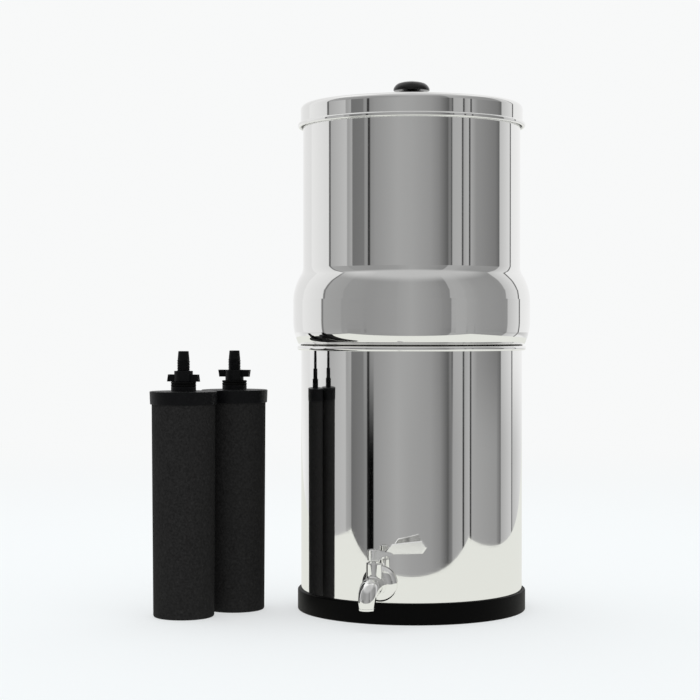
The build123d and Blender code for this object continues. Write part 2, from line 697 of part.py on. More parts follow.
def filter_element(number, x, y, wings_up):
    """One element: carbon block, cap with its hollow threaded stem, stem washer and wing nut."""
    upright = Plane(origin=(x, y, 0), x_dir=(1, 0, 0), z_dir=(0, -1, 0))  # (from the axis, height)
    axis = Axis((x, y, 0), (0, 0, 1))

    with BuildPart() as block:
        with BuildSketch(upright):
            Polygon((0, 0), (carbon_foot_r, 0), (carbon_top_r, carbon_h), (carbon_top_r, carbon_h + cap_sink),
                    (0, carbon_h + cap_sink), align=None)
        revolve(axis=axis)
        fillet(block.edges().group_by(Axis.Z)[0], radius=carbon_edge)
        with BuildSketch(Plane((x, y, carbon_core_floor))):
            Circle(carbon_core_r)
        extrude(amount=carbon_h, mode=Mode.SUBTRACT)
    keep(block.part, f"carbon_block_{number}")

    with BuildPart() as cap:
        with BuildSketch(upright):
            Polygon((0, carbon_h), (cap_foot_r, carbon_h), (cap_r, cap_top_z - cap_edge),
                    (cap_r - cap_edge, cap_top_z), (collar_boss_r, cap_top_z), (collar_boss_r, boss_top_z),
                    (filter_stem_r, boss_top_z), (filter_stem_r, thread_top_z),
                    (filter_tip_root_r, thread_top_z), (filter_tip_r, filter_top_z - filter_tip_edge),
                    (filter_tip_r - filter_tip_edge, filter_top_z), (0, filter_top_z), align=None)
        revolve(axis=axis)
        with BuildSketch(Plane((x, y, carbon_h))):
            Circle(carbon_top_r)
        extrude(amount=cap_sink, mode=Mode.SUBTRACT)
        with BuildSketch(Plane((x, y, carbon_h))):
            Circle(filter_bore_r)
        extrude(amount=filter_top_z - carbon_h, mode=Mode.SUBTRACT)
    keep(cap.part, f"filter_cap_{number}")

    with BuildPart() as washer:
        with BuildSketch(Plane((x, y, boss_top_z))):
            Circle(stem_washer_r)
            Circle(filter_stem_r, mode=Mode.SUBTRACT)
        extrude(amount=stem_washer_h)
        with BuildSketch(upright):
            with Locations((stem_washer_r, boss_top_z + stem_washer_h / 2)):
                Rectangle(2 * lip_groove, 2 * lip_groove, rotation=45)
        revolve(axis=axis, mode=Mode.SUBTRACT)
    keep(washer.part, f"stem_washer_{number}")

    wide_z, narrow_z = (nut_z + wing_nut_h, nut_z + wing_nut_h - wing_h) if wings_up else (nut_z, nut_z + wing_h)
    wide_x = wing_span / 2
    narrow_x = wide_x - wing_slope
    with BuildPart() as nut:
        with BuildSketch(upright):
            Polygon((-wide_x, wide_z), (wide_x, wide_z), (narrow_x, narrow_z), (-narrow_x, narrow_z), align=None)
        extrude(amount=wing_t / 2, both=True)
        ends = nut.faces().sort_by(Axis.X)
        end_edges = (ends[0].edges() + ends[-1].edges()).filter_by(Axis.Y, reverse=True)
        fillet(end_edges, radius=wing_round)
        with BuildSketch(Plane((x, y, nut_z))):
            Circle(wing_hub_r)
        extrude(amount=wing_nut_h)
        with BuildSketch(Plane((x, y, nut_z))):
            Circle(filter_stem_r + nut_bore_gap)
        extrude(amount=wing_nut_h, mode=Mode.SUBTRACT)
    keep(nut.part, f"wing_nut_{number}")


rear_out = bulge_r + cap_r + pair_clear
rear_x, rear_y = rear_out * cos(radians(pair_angle)), rear_out * sin(radians(pair_angle))
pitch = 2 * cap_r + pair_gap
front_x, front_y = rear_x + pitch * cos(radians(pair_turn)), rear_y + pitch * sin(radians(pair_turn))
filter_element(1, front_x, front_y, wings_up=False)
filter_element(2, rear_x, rear_y, wings_up=True)
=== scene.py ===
# %% [markdown]
# # A gravity water filter, dressed piece by piece
# The engineering model is the frame: it fixes where every piece is and how large it is. This lesson
# gives the pieces their looks. A turned or pressed piece that shows is made again with a finer
# surface, because polished metal shows every facet, and the rest keep their meshes and get a finish.
# %% Load the frame
import json
from math import atan, cos, pi, radians, sin, tan

import bmesh
import bpy
from mathutils import Matrix, Vector


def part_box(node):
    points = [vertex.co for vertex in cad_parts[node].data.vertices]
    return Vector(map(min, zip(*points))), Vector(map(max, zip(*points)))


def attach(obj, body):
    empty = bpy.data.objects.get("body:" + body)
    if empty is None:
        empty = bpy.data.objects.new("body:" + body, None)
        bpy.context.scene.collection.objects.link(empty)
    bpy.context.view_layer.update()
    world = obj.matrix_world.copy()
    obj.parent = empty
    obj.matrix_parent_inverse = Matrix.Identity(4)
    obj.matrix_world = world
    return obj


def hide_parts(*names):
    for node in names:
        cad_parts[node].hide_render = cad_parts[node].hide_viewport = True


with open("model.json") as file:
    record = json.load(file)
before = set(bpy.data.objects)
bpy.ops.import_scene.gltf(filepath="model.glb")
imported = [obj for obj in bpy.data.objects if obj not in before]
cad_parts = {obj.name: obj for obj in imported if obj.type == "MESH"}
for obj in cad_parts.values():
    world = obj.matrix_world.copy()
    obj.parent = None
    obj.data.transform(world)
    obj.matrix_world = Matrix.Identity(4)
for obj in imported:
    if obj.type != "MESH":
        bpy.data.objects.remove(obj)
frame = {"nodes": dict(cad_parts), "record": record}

scene = bpy.context.scene
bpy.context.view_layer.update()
MM = 0.001  # sizes below are in millimetres, Blender's are in metres


def new_object(name, data):
    """An object of some data, put into the scene."""
    made = bpy.data.objects.new(name, data)
    scene.collection.objects.link(made)
    return made


# %% [markdown]
# ## The camera
# The camera comes first, since every choice after it is judged through it. A long lens from almost two
# metres keeps the cylinders nearly free of perspective. It stands a little to the right of the tap,
# level with the seam between the two chambers, and looks slightly past the vessel so that the loose
# filter elements share the frame.
# %% Camera
CAMERA_AZIMUTH = radians(15.5)  # where it stands, turned from the tap's direction
CAMERA_DISTANCE = 1.8066
CAMERA_HEIGHT = 0.2757
LOOK_LEFT = radians(1.91)
LOOK_DOWN = radians(0.725)

camera_data = bpy.data.cameras.new("camera")
camera_data.lens = 94.7
camera_data.sensor_width = 36.0
camera = new_object("camera", camera_data)
camera.location = (CAMERA_DISTANCE * sin(CAMERA_AZIMUTH), -CAMERA_DISTANCE * cos(CAMERA_AZIMUTH), CAMERA_HEIGHT)
camera.rotation_euler = (pi / 2 - LOOK_DOWN, 0, CAMERA_AZIMUTH + LOOK_LEFT)
scene.camera = camera
scene.view_settings.view_transform = "Standard"
print("camera at", [round(v, 3) for v in camera.location])

# %% [markdown]
# ## The studio
# Polished steel has no colour of its own: it shows the room. The room here is a ring of upright cards
# of different greys, which the world draws by direction, so that a ray that leaves the steel sideways
# meets a card. The other choice is real cards, which would stand in the way of the other views.
# A card starts at its left edge, in degrees round from the camera to its right, and reaches to the
# next one. It has a grey at each side, because no wall in a room is lit evenly, and three rows of
# them: the upper chamber mirrors what is just above eye level, the lower chamber what is just below,
# and the bulge between them mostly what is far up, where the poles and curtains have ended. Overhead
# is a ceiling with a window at each side, which the round edges catch.
# %% Studio cards
LEFT_CARDS = (
    # name, left edge, greys just above eye level, just below it, and far up or down
    ("paper, behind", -180, (0.92, 0.78), (0.90, 0.88), (0.92, 0.78)),
    ("paper, left", -150, (0.78, 0.74), (0.88, 0.70), (0.78, 0.74)),
    ("paper, near", -131, (0.81, 0.70), (0.70, 0.60), (0.81, 0.70)),
    ("seam", -96.5, (0.11, 0.11), (0.40, 0.40), (0.195, 0.195)),
    ("wall", -94, (0.39, 0.51), (0.45, 0.48), (0.36, 0.33)),
    ("doorway", -71, (0.31, 0.39), (0.37, 0.31), (0.3, 0.3)),
    ("drape", -64.5, (0.16, 0.18), (0.14, 0.19), (0.3, 0.29)),
    ("drape, fold", -50, (0.27, 0.29), (0.20, 0.24), (0.29, 0.285)),
    ("frame", -46.3, (0.03, 0.03), (0.007, 0.007), (0.285, 0.285)),
    ("pole", -43.6, (0.25, 0.28), (0.002, 0.002), (0.285, 0.285)),
    ("room, left", -38.8, (0.29, 0.37), (0.29, 0.38), (0.285, 0.32)),
    ("room, middle", -14, (0.37, 0.355), (0.38, 0.34), (0.33, 0.36)),
)
RIGHT_CARDS = (
    ("room, behind the camera", 0, (0.355, 0.30), (0.34, 0.31), (0.36, 0.3)),
    ("room, right", 19, (0.30, 0.23), (0.31, 0.25), (0.3, 0.26)),
    ("curtain", 29, (0.22, 0.10), (0.25, 0.09), (0.25, 0.22)),
    ("door", 38.5, (0.16, 0.22), (0.14, 0.18), (0.38, 0.38)),
    ("door post", 41.5, (0.06, 0.06), (0.18, 0.28), (0.38, 0.38)),
    ("screen", 42.9, (0.39, 0.42), (0.34, 0.40), (0.385, 0.37)),
    ("pole", 53.8, (0.055, 0.055), (0.015, 0.015), (0.36, 0.355)),
    ("panel", 55.6, (0.36, 0.44), (0.37, 0.45), (0.35, 0.33)),
    ("outer pole", 62.2, (0.035, 0.035), (0.02, 0.02), (0.33, 0.33)),
    ("wall, near", 64, (0.39, 0.28), (0.37, 0.35), (0.32, 0.3)),
    ("wall", 71, (0.27, 0.19), (0.35, 0.30), (0.3, 0.27)),
    ("wall, far", 98.5, (0.19, 0.12), (0.27, 0.15), (0.27, 0.28)),
    ("paper, right", 105.5, (0.52, 0.70), (0.41, 0.60), (0.52, 0.70)),
    ("seam", 126.5, (0.10, 0.10), (0.17, 0.17), (0.12, 0.12)),
    ("paper, behind", 129, (0.80, 0.92), (0.50, 0.90), (0.80, 0.92)),
)
SKY_CARDS = (
    # name, left edge, greys overhead
    ("ceiling, behind", -180, (0.60, 0.80)),
    ("window, left", -140, (0.95, 0.95)),
    ("ceiling, left", -97, (0.76, 0.52)),
    ("ceiling, front", -50, (0.52, 0.50)),
    ("ceiling, right", 60, (0.50, 0.62)),
    ("window, right", 107, (0.92, 0.92)),
    ("ceiling, behind", 140, (0.80, 0.60)),
)
SOFT_EDGE = 0.4  # degrees from one card to the next
ABOVE, BELOW, PLAIN = 2, 3, 4  # where a card keeps each row of greys
OVERHEAD = 2  # where a ceiling card keeps its greys

# Where one row gives way to another: the upward part of the ray's direction, before and after.
EYE_LEVEL = (-0.072, -0.008)
BAND_IN, BAND_OUT = (-0.0105, -0.001), (0.018, 0.030)  # the plain row again, straight ahead of the bulge
PLAIN_UP, PLAIN_DOWN = (0.130, 0.165), (-0.17, -0.25)
CEILING_UP = (0.62, 0.84)

BACKDROP = (0.938, 0.945, 0.945, 1)
ROOM_LIGHT = 1.0
TOWARDS = (sin(CAMERA_AZIMUTH), -cos(CAMERA_AZIMUTH), 0)  # level directions, to the camera
RIGHTWARD = (cos(CAMERA_AZIMUTH), sin(CAMERA_AZIMUTH), 0)  # and to its right

# %% [markdown]
# A shader tree is a long sum written in boxes and wires. These helpers write it almost as a formula:
# each adds one node, feeds it sockets or plain numbers, and gives its output to the next.
# %% Node helpers
def grey(value):
    """A neutral colour."""
    return (value, value, value, 1)


def set_up(node, **settings):
    """Sets a node's properties and the values of its inputs, whose names have spaces for underscores."""
    for key, value in settings.items():
        if hasattr(node, key):
            setattr(node, key, value)
        else:
            node.inputs[key.replace("_", " ")].default_value = value
    return node


def add_node(tree, kind, **settings):
    """Adds a node and sets it up."""
    return set_up(tree.nodes.new(kind), **settings)


def fed(tree, node, *sources):
    """Feeds a node's inputs in turn with sockets or constants; gives its output."""
    for socket, source in zip([socket for socket in node.inputs if socket.enabled], sources):
        if isinstance(source, bpy.types.NodeSocket):
            tree.links.new(source, socket)
        else:
            socket.default_value = source
    return next(output for output in node.outputs if output.enabled)


def number(tree, operation, *sources):
    """A number worked out from others."""
    return fed(tree, add_node(tree, "ShaderNodeMath", operation=operation), *sources)


def vectors(tree, operation, *sources):
    """A vector, or a number, worked out from vectors."""
    return fed(tree, add_node(tree, "ShaderNodeVectorMath", operation=operation), *sources)


def mapped(tree, value, low, high, first=0.0, last=1.0, kind="LINEAR"):
    """Maps the span from low to high onto another one and holds the value at its ends."""
    return fed(tree, add_node(tree, "ShaderNodeMapRange", interpolation_type=kind), value, low, high, first, last)


def mixed(tree, factor, first, second, data_type="RGBA"):
    """One colour, number or vector below a factor of 0, another above 1."""
    return fed(tree, add_node(tree, "ShaderNodeMix", data_type=data_type), factor, first, second)


def split(tree, vector):
    """A vector's three parts."""
    parts = add_node(tree, "ShaderNodeSeparateXYZ")
    fed(tree, parts, vector)
    return parts.outputs


def level_parts(tree, vector):
    """How far a vector reaches towards the camera and to its right."""
    return [vectors(tree, "DOT_PRODUCT", vector, way) for way in (TOWARDS, RIGHTWARD)]


def card_ramp(tree, angle, cards, end, row):
    """Colours by an angle in degrees: one row of greys along some cards, up to the last card's end."""
    start = cards[0][1]
    ramp = add_node(tree, "ShaderNodeValToRGB")
    tree.links.new(mapped(tree, angle, start, end), ramp.inputs[0])
    edges = [card[1] for card in cards] + [end]
    marks = []
    for card, left, right in zip(cards, edges, edges[1:]):
        marks += [(left + SOFT_EDGE / 2, card[row][0]), (right - SOFT_EDGE / 2, card[row][1])]
    stops = ramp.color_ramp.elements
    for place, (at, value) in enumerate(marks):
        stop = stops[place] if place < 2 else stops.new(1)
        stop.position = (at - start) / (end - start)
        stop.color = grey(value)
    return ramp.outputs["Color"]


# %% [markdown]
# The ray's direction gives two numbers: how far round it points, and how far up. The first chooses a
# card in each row, and the second blends the rows.
# %% World
world = bpy.data.worlds.new("studio")
scene.world = world
world.use_nodes = True
tree = world.node_tree
tree.nodes.clear()
direction = add_node(tree, "ShaderNodeTexCoord").outputs["Generated"]
towards, rightward = level_parts(tree, direction)
height = split(tree, direction)["Z"]
turn_degrees = number(tree, "MULTIPLY", number(tree, "ARCTAN2", rightward, towards), 180 / pi)
on_right = number(tree, "GREATER_THAN", turn_degrees, 0.0)
below, above, plain = (mixed(tree, on_right, card_ramp(tree, turn_degrees, LEFT_CARDS, 0, row),
                             card_ramp(tree, turn_degrees, RIGHT_CARDS, 180, row)) for row in (BELOW, ABOVE, PLAIN))


def by_height(low, high):
    """Rises from 0 to 1 between two heights of the ray's direction."""
    return mapped(tree, height, low, high, kind="SMOOTHSTEP")


far_off = number(tree, "MAXIMUM", by_height(*PLAIN_UP), by_height(*PLAIN_DOWN))
straight_ahead = number(tree, "SUBTRACT", by_height(*BAND_IN), by_height(*BAND_OUT))
room = mixed(tree, by_height(*EYE_LEVEL), below, above)
room = mixed(tree, number(tree, "MAXIMUM", far_off, straight_ahead), room, plain)
room = mixed(tree, by_height(*CEILING_UP), room, card_ramp(tree, turn_degrees, SKY_CARDS, 180, OVERHEAD))
print("studio:", len(LEFT_CARDS) + len(RIGHT_CARDS), "cards in three rows,", len(SKY_CARDS), "overhead")

# %% [markdown]
# The camera must not see that ring, and neither must soft light: a matt piece would pick up its dark
# cards. Light Path sorts the rays. The camera sees a pale backdrop, mirror rays see the ring, and
# every other ray sees one even grey, which is the plain light of the room.
# %% World by kind of ray
rays = add_node(tree, "ShaderNodeLightPath")
lit = mixed(tree, rays.outputs["Is Glossy Ray"], grey(ROOM_LIGHT), room)
background = add_node(tree, "ShaderNodeBackground")
fed(tree, background, mixed(tree, rays.outputs["Is Camera Ray"], lit, BACKDROP))
tree.links.new(background.outputs[0], add_node(tree, "ShaderNodeOutputWorld").inputs[0])

# %% [markdown]
# ## The floor
# The floor is one wide sheet of pale paper that fades into the backdrop, so no horizon shows. In the
# steel it must look smaller. The lower chamber mirrors a table whose front edge ends half a metre
# before the vessel, with the dark room beyond it. So mirror rays see the paper only within the table
# and pass through it outside, which spares the camera a table edge across the picture.
# %% Floor
PAPER = (0.80, 0.852, 0.875, 1)
PAPER_REACH = 9.0
TABLE_FRONT = 0.435  # from the vessel's axis, towards the camera
TABLE_LEFT = 0.77
TABLE_RIGHT = 0.665
FADE_FROM, FADE_TO = 0.5, 2.6
EVEN_LIGHT = 0.55  # share of the backdrop's own glow in the paper near the vessel
MIRRORED_PAPER = (0.78, 0.79, 0.745, 1)  # the steel shows it a little warmer than it is


def new_material(name, **settings):
    """A material with its Principled shader set up; gives the material, its tree and the shader."""
    made = bpy.data.materials.new(name)
    made.use_nodes = True
    return made, made.node_tree, set_up(made.node_tree.nodes["Principled BSDF"], **settings)


bm = bmesh.new()
bmesh.ops.create_grid(bm, x_segments=1, y_segments=1, size=PAPER_REACH)
floor_mesh = bpy.data.meshes.new("floor_paper")
bm.to_mesh(floor_mesh)
bm.free()
floor = new_object("floor_paper", floor_mesh)

paper, tree, paper_shader = new_material("paper", Base_Color=PAPER, Roughness=0.9, Specular_IOR_Level=0.1)
place = add_node(tree, "ShaderNodeTexCoord").outputs["Object"]
towards, rightward = level_parts(tree, place)
far_away = mapped(tree, vectors(tree, "LENGTH", place), FADE_FROM, FADE_TO, EVEN_LIGHT, kind="SMOOTHSTEP")
past_front = number(tree, "GREATER_THAN", towards, TABLE_FRONT)
from_middle = number(tree, "ABSOLUTE", number(tree, "ADD", rightward, (TABLE_LEFT - TABLE_RIGHT) / 2))
past_side = number(tree, "GREATER_THAN", from_middle, (TABLE_LEFT + TABLE_RIGHT) / 2)
glossy = add_node(tree, "ShaderNodeLightPath").outputs["Is Glossy Ray"]
unseen = number(tree, "MULTIPLY", number(tree, "MAXIMUM", past_front, past_side), glossy)


def mixed_shader(factor, first, second):
    """One of the paper's shaders below a factor of 0, another above 1."""
    return fed(tree, add_node(tree, "ShaderNodeMixShader"), factor, first, second)


glow = add_node(tree, "ShaderNodeEmission", Color=BACKDROP).outputs[0]
mirrored = add_node(tree, "ShaderNodeEmission", Color=MIRRORED_PAPER).outputs[0]
nothing = add_node(tree, "ShaderNodeBsdfTransparent").outputs[0]
seen = mixed_shader(glossy, mixed_shader(far_away, paper_shader.outputs[0], glow), mirrored)
tree.links.new(mixed_shader(unseen, seen, nothing), tree.nodes["Material Output"].inputs["Surface"])
floor_mesh.materials.append(paper)
print("table mirrored as", round(TABLE_LEFT + TABLE_RIGHT, 2), "m wide")

# %% [markdown]
# ## Lamps
# One wide soft lamp above and behind gives the black pieces a sheen along their tops and leaves a
# weak shadow in front. The steel doesn't need it, so it is hidden from mirror rays there.
# %% Lamps
soft_box_data = bpy.data.lights.new("soft_box", "AREA")
soft_box_data.shape = "RECTANGLE"
soft_box_data.size = 1.8
soft_box_data.size_y = 1.2
soft_box_data.energy = 9
soft_box = new_object("soft_box", soft_box_data)
soft_box.location = (-0.2, 0.3, 1.9)
soft_box.rotation_euler = (radians(-12), 0, 0)
soft_box.visible_glossy = False

# %% [markdown]
# ## Surface effects
# Three effects come up again and again, so each is a node group that any finish may use. The first is
# a fine grain: noise stretched as asked, given as a value between two limits and as a height for a
# Bump node. The second is the slow waviness of hand-polished sheet, which bends long reflections a
# little. The third is the dust that settles on black plastic and rubber.
# %% Node groups
def new_group(name, inputs, outputs):
    """An empty shader node group with named sockets; gives its tree and its two end nodes."""
    group = bpy.data.node_groups.new(name, "ShaderNodeTree")
    for label, value in inputs:
        group.interface.new_socket(label, in_out="INPUT", socket_type="NodeSocketFloat").default_value = value
    for label in outputs:
        kind = "NodeSocketVector" if label == "Normal" else "NodeSocketFloat"
        group.interface.new_socket(label, in_out="OUTPUT", socket_type=kind)
    return group, group.nodes.new("NodeGroupInput"), group.nodes.new("NodeGroupOutput")


NOISE_SPAN = (0.3, 0.7)  # where nearly all of the noise lies
SPECK_SPAN = (0.56, 0.78)  # only its peaks carry dust
UPRIGHT_DUST = 0.25  # share of the dust that stays on a wall


def scaled_noise(group, ends_in, stretch=(1, 1, 1), detail=2.0):
    """Noise on the piece's own coordinates inside a group, at the group's own scale."""
    place = add_node(group, "ShaderNodeTexCoord").outputs["Object"]
    noise = add_node(group, "ShaderNodeTexNoise", Detail=detail)
    group.links.new(vectors(group, "MULTIPLY", place, stretch), noise.inputs["Vector"])
    group.links.new(ends_in.outputs["Scale"], noise.inputs["Scale"])
    return noise.outputs["Fac"]


def limited(group, noise, ends_in):
    """Maps noise onto the span between the group's two limits."""
    return mapped(group, noise, *NOISE_SPAN, ends_in.outputs["Low"], ends_in.outputs["High"])


grain_group, ends_in, ends_out = new_group("fine_grain", [("Scale", 900.0), ("Low", 0.4), ("High", 0.6)],
                                           ["Value", "Height"])
grain = scaled_noise(grain_group, ends_in, detail=3.0)
grain_group.links.new(limited(grain_group, grain, ends_in), ends_out.inputs["Value"])
grain_group.links.new(grain, ends_out.inputs["Height"])

polish_group, ends_in, ends_out = new_group("sheet_polish", [("Scale", 10.0), ("Low", 0.03), ("High", 0.06)],
                                            ["Roughness", "Wave"])
lines = scaled_noise(polish_group, ends_in, stretch=(3, 3, 60), detail=3.0)
polish_group.links.new(limited(polish_group, lines, ends_in), ends_out.inputs["Roughness"])
polish_group.links.new(scaled_noise(polish_group, ends_in, stretch=(1, 1, 0.6), detail=0.0), ends_out.inputs["Wave"])

dust_group, ends_in, ends_out = new_group("dust", [("Scale", 260.0), ("Amount", 0.5)], ["Mask"])
specks = mapped(dust_group, scaled_noise(dust_group, ends_in, detail=4.0), *SPECK_SPAN)
facing = add_node(dust_group, "ShaderNodeNewGeometry").outputs["Normal"]
settled = mapped(dust_group, split(dust_group, facing)["Z"], -0.2, 1.0, UPRIGHT_DUST)
lying = number(dust_group, "MULTIPLY", specks, settled)
dust_group.links.new(number(dust_group, "MULTIPLY", lying, ends_in.outputs["Amount"]), ends_out.inputs["Mask"])
print("groups:", [group.name for group in bpy.data.node_groups])

# %% [markdown]
# A fourth group is for the sheet of the chambers alone. A pressing isn't quite its drawing: the bulge
# stays upright for longer and then turns under faster, and a mirror shows that at once. So the bulge's
# normal follows a curve by height, with a fold at each end of its upright band. The group also tells
# a sheet's inner side from its outer one, because only the outer side is polished.
# %% Group for the chambers' sheet
SLOPE_LOW, SLOPE_HIGH = 0.2573, 0.3106  # heights between which the bulge's slope is set
SLOPES = (  # height, and the upward part of the sheet's normal there, before the folds are added
    (0.2573, -0.98), (0.2702, -0.14), (0.3020, -0.14), (0.3106, -0.125))
FOLDS = ((0.27025, 0.14), (0.3020, 0.185))  # above each height the normal rises at once by this much
FACING_IN = -0.3  # an inner side's normal reaches outwards less than this

sheet_group, _, ends_out = new_group("chamber_sheet", [], ["Normal", "Inside"])


def vector_of(x=0.0, y=0.0, z=0.0):
    """A vector of three parts in the sheet's group."""
    return fed(sheet_group, add_node(sheet_group, "ShaderNodeCombineXYZ"), x, y, z)


place = split(sheet_group, add_node(sheet_group, "ShaderNodeTexCoord").outputs["Object"])
slope = add_node(sheet_group, "ShaderNodeFloatCurve")
curve = slope.mapping.curves[0]
spots = [((at - SLOPE_LOW) / (SLOPE_HIGH - SLOPE_LOW), (up + 1) / 2) for at, up in SLOPES]
curve.points[0].location, curve.points[-1].location = spots[0], spots[-1]
for spot in spots[1:-1]:
    curve.points.new(*spot)
for point in curve.points:
    point.handle_type = "VECTOR"
slope.mapping.update()
sheet_group.links.new(mapped(sheet_group, place["Z"], SLOPE_LOW, SLOPE_HIGH), slope.inputs["Value"])

upward = number(sheet_group, "MULTIPLY_ADD", slope.outputs[0], 2.0, -1.0)
for fold_height, rise in FOLDS:
    past_fold = number(sheet_group, "GREATER_THAN", place["Z"], fold_height)
    upward = number(sheet_group, "MULTIPLY_ADD", past_fold, rise, upward)
upward_squared = number(sheet_group, "MULTIPLY", upward, upward)
level = number(sheet_group, "SQRT", number(sheet_group, "SUBTRACT", 1.0, upward_squared))
outward = vectors(sheet_group, "NORMALIZE", vector_of(place["X"], place["Y"]))
sloped = vectors(sheet_group, "ADD", vectors(sheet_group, "SCALE", outward, level), vector_of(z=upward))

true_normal = add_node(sheet_group, "ShaderNodeNewGeometry").outputs["Normal"]
facing_out = vectors(sheet_group, "DOT_PRODUCT", true_normal, outward)
above_low = number(sheet_group, "GREATER_THAN", place["Z"], SLOPE_LOW)
below_high = number(sheet_group, "LESS_THAN", place["Z"], SLOPE_HIGH)
on_bulge = number(sheet_group, "MULTIPLY", number(sheet_group, "GREATER_THAN", facing_out, 0.0),
                  number(sheet_group, "MULTIPLY", above_low, below_high))
chosen = mixed(sheet_group, on_bulge, true_normal, sloped, "VECTOR")
sheet_group.links.new(chosen, ends_out.inputs["Normal"])
sheet_group.links.new(number(sheet_group, "LESS_THAN", facing_out, FACING_IN), ends_out.inputs["Inside"])
print("bulge's normal set from", SLOPE_LOW, "to", SLOPE_HIGH, "m")

# %% [markdown]
# ## Finishes
# A finish is a Principled shader with its own base values, and one or two of the groups above feed it.
# Polished metal is fully metallic. Its roughness runs along the polishing lines and stays low, so that
# the studio's cards keep crisp edges. The lever is a little duller than the rest of the tap, and a
# chamber's inner side is left satin, as the press made it: a mirror in there would only show its own
# dark. The blacks differ mostly in gloss: the rubber ring is satin, the knob glossy, the moulded caps
# dull, and the pressed carbon hardly shines at all.
# %% Material helpers
def use_group(tree, group, **inputs):
    """Places a group in a material and sets its inputs."""
    return add_node(tree, "ShaderNodeGroup", node_tree=group, **inputs)


def bump(tree, shader, height, depth):
    """Feeds a height to the shader's normal; depth is in metres."""
    node = add_node(tree, "ShaderNodeBump", Strength=1.0, Distance=depth)
    tree.links.new(height, node.inputs["Height"])
    tree.links.new(node.outputs["Normal"], shader.inputs["Normal"])
    return node


def polished_metal(name, colour, roughness, wave_scale, wave_depth, metallic=1.0, chamber=False, bulged=False):
    """Polished metal: roughness along the polishing lines, and a slight waviness."""
    made, tree, shader = new_material(name, Base_Color=colour, Metallic=metallic)
    polish = use_group(tree, polish_group, Scale=wave_scale, Low=roughness[0], High=roughness[1])
    tree.links.new(polish.outputs["Roughness"], shader.inputs["Roughness"])
    waved = bump(tree, shader, polish.outputs["Wave"], wave_depth)
    if chamber:
        sheet = use_group(tree, sheet_group)
        for label, outside, inside in (("Metallic", metallic, INSIDE_METALLIC),
                                       ("Roughness", polish.outputs["Roughness"], INSIDE_ROUGHNESS)):
            value = mixed(tree, sheet.outputs["Inside"], outside, inside, "FLOAT")
            tree.links.new(value, shader.inputs[label])
        if bulged:
            tree.links.new(sheet.outputs["Normal"], waved.inputs["Normal"])
    return made


def grained(name, colour, light_colour, roughness, grain_scale, grain_depth, dust_amount, shine=0.5):
    """Plastic, rubber or carbon: a grain that varies colour, gloss and height, with dust on top."""
    made, tree, shader = new_material(name, Specular_IOR_Level=shine)
    grain = use_group(tree, grain_group, Scale=grain_scale, Low=roughness[0], High=roughness[1])
    tree.links.new(grain.outputs["Value"], shader.inputs["Roughness"])
    mottled = mixed(tree, grain.outputs["Height"], colour, light_colour)
    dust = use_group(tree, dust_group, Amount=dust_amount)
    tree.links.new(mixed(tree, dust.outputs["Mask"], mottled, DUST), shader.inputs["Base Color"])
    bump(tree, shader, grain.outputs["Height"], grain_depth)
    return made


# %% Metals
STEEL = (0.965, 0.965, 0.955, 1)
INSIDE_METALLIC, INSIDE_ROUGHNESS = 0.35, 0.32

# name, colour, lowest and highest roughness, waves per metre, their depth in metres
sheet_steel = polished_metal("polished_sheet", STEEL, (0.02, 0.05), 9.0, 0.00001, chamber=True)
bulged_steel = polished_metal("polished_bulge", STEEL, (0.02, 0.05), 9.0, 0.00001, chamber=True, bulged=True)
inner_steel = polished_metal("pressed_floor", STEEL, (0.28, 0.36), 20.0, 0.00001, INSIDE_METALLIC)
tap_steel = polished_metal("polished_casting", (0.97, 0.97, 0.96, 1), (0.03, 0.07), 90.0, 0.000008)
satin_steel = polished_metal("satin_casting", (0.96, 0.96, 0.95, 1), (0.12, 0.18), 25.0, 0.000004, 0.93)
plain_steel = polished_metal("turned_steel", (0.72, 0.72, 0.71, 1), (0.16, 0.30), 60.0, 0.00001)
ground_steel = polished_metal("ground_steel", (0.80, 0.80, 0.80, 1), (0.05, 0.10), 60.0, 0.000005)
brass = polished_metal("turned_brass", (0.78, 0.57, 0.27, 1), (0.15, 0.28), 60.0, 0.00001)
print("metals:", [made.name for made in bpy.data.materials if made.name != "paper"])

# %% Blacks and whites
DUST = grey(0.30)

# name, dark and light of the grain, roughness, grains per metre, their depth in metres, dust, shine
rubber = grained("satin_rubber", grey(0.0006), grey(0.0014), (0.42, 0.55), 700.0, 0.00003, 0.006, 0.06)
gloss_black = grained("gloss_moulding", grey(0.004), grey(0.006), (0.16, 0.24), 400.0, 0.00001, 0.01, 0.25)
set_up(gloss_black.node_tree.nodes["Principled BSDF"], Coat_Weight=0.25, Coat_Roughness=0.08)
moulded_black = grained("dull_moulding", (0.0016, 0.0018, 0.0024, 1), (0.0042, 0.0045, 0.0052, 1), (0.38, 0.55),
                        1100.0, 0.00004, 0.02, 0.14)
soft_black = grained("washer_silicone", grey(0.0016), grey(0.003), (0.55, 0.70), 600.0, 0.00003, 0.01, 0.10)
carbon = grained("pressed_carbon", grey(0.0015), (0.029, 0.0285, 0.0282, 1), (0.75, 0.95), 480.0, 0.00035, 0.06, 0.10)
white_seal = grained("waxy_white", grey(0.78), grey(0.84), (0.40, 0.50), 500.0, 0.00002, 0.0)
print("blacks:", [made.name for made in (rubber, gloss_black, moulded_black, soft_black, carbon)])

# %% [markdown]
# ## Turned pieces
# Nearly everything here is round: pressed sheet, rubber ring, moulded cap. Each such piece is made the
# way a potter works, from one profile turned about an axis. The profile is a few corners joined by
# edges, and a vertex bevel rounds each corner by the radius that the real piece has there. Cylinders
# joined by booleans are the other way, but they leave uneven facets, and polish shows every one.
# %% Profile and turning
FINE_TURN = 192  # facets once round a large polished piece
SMALL_TURN = 72
ARC_STEP = radians(6)  # the share of a rounding that one facet takes


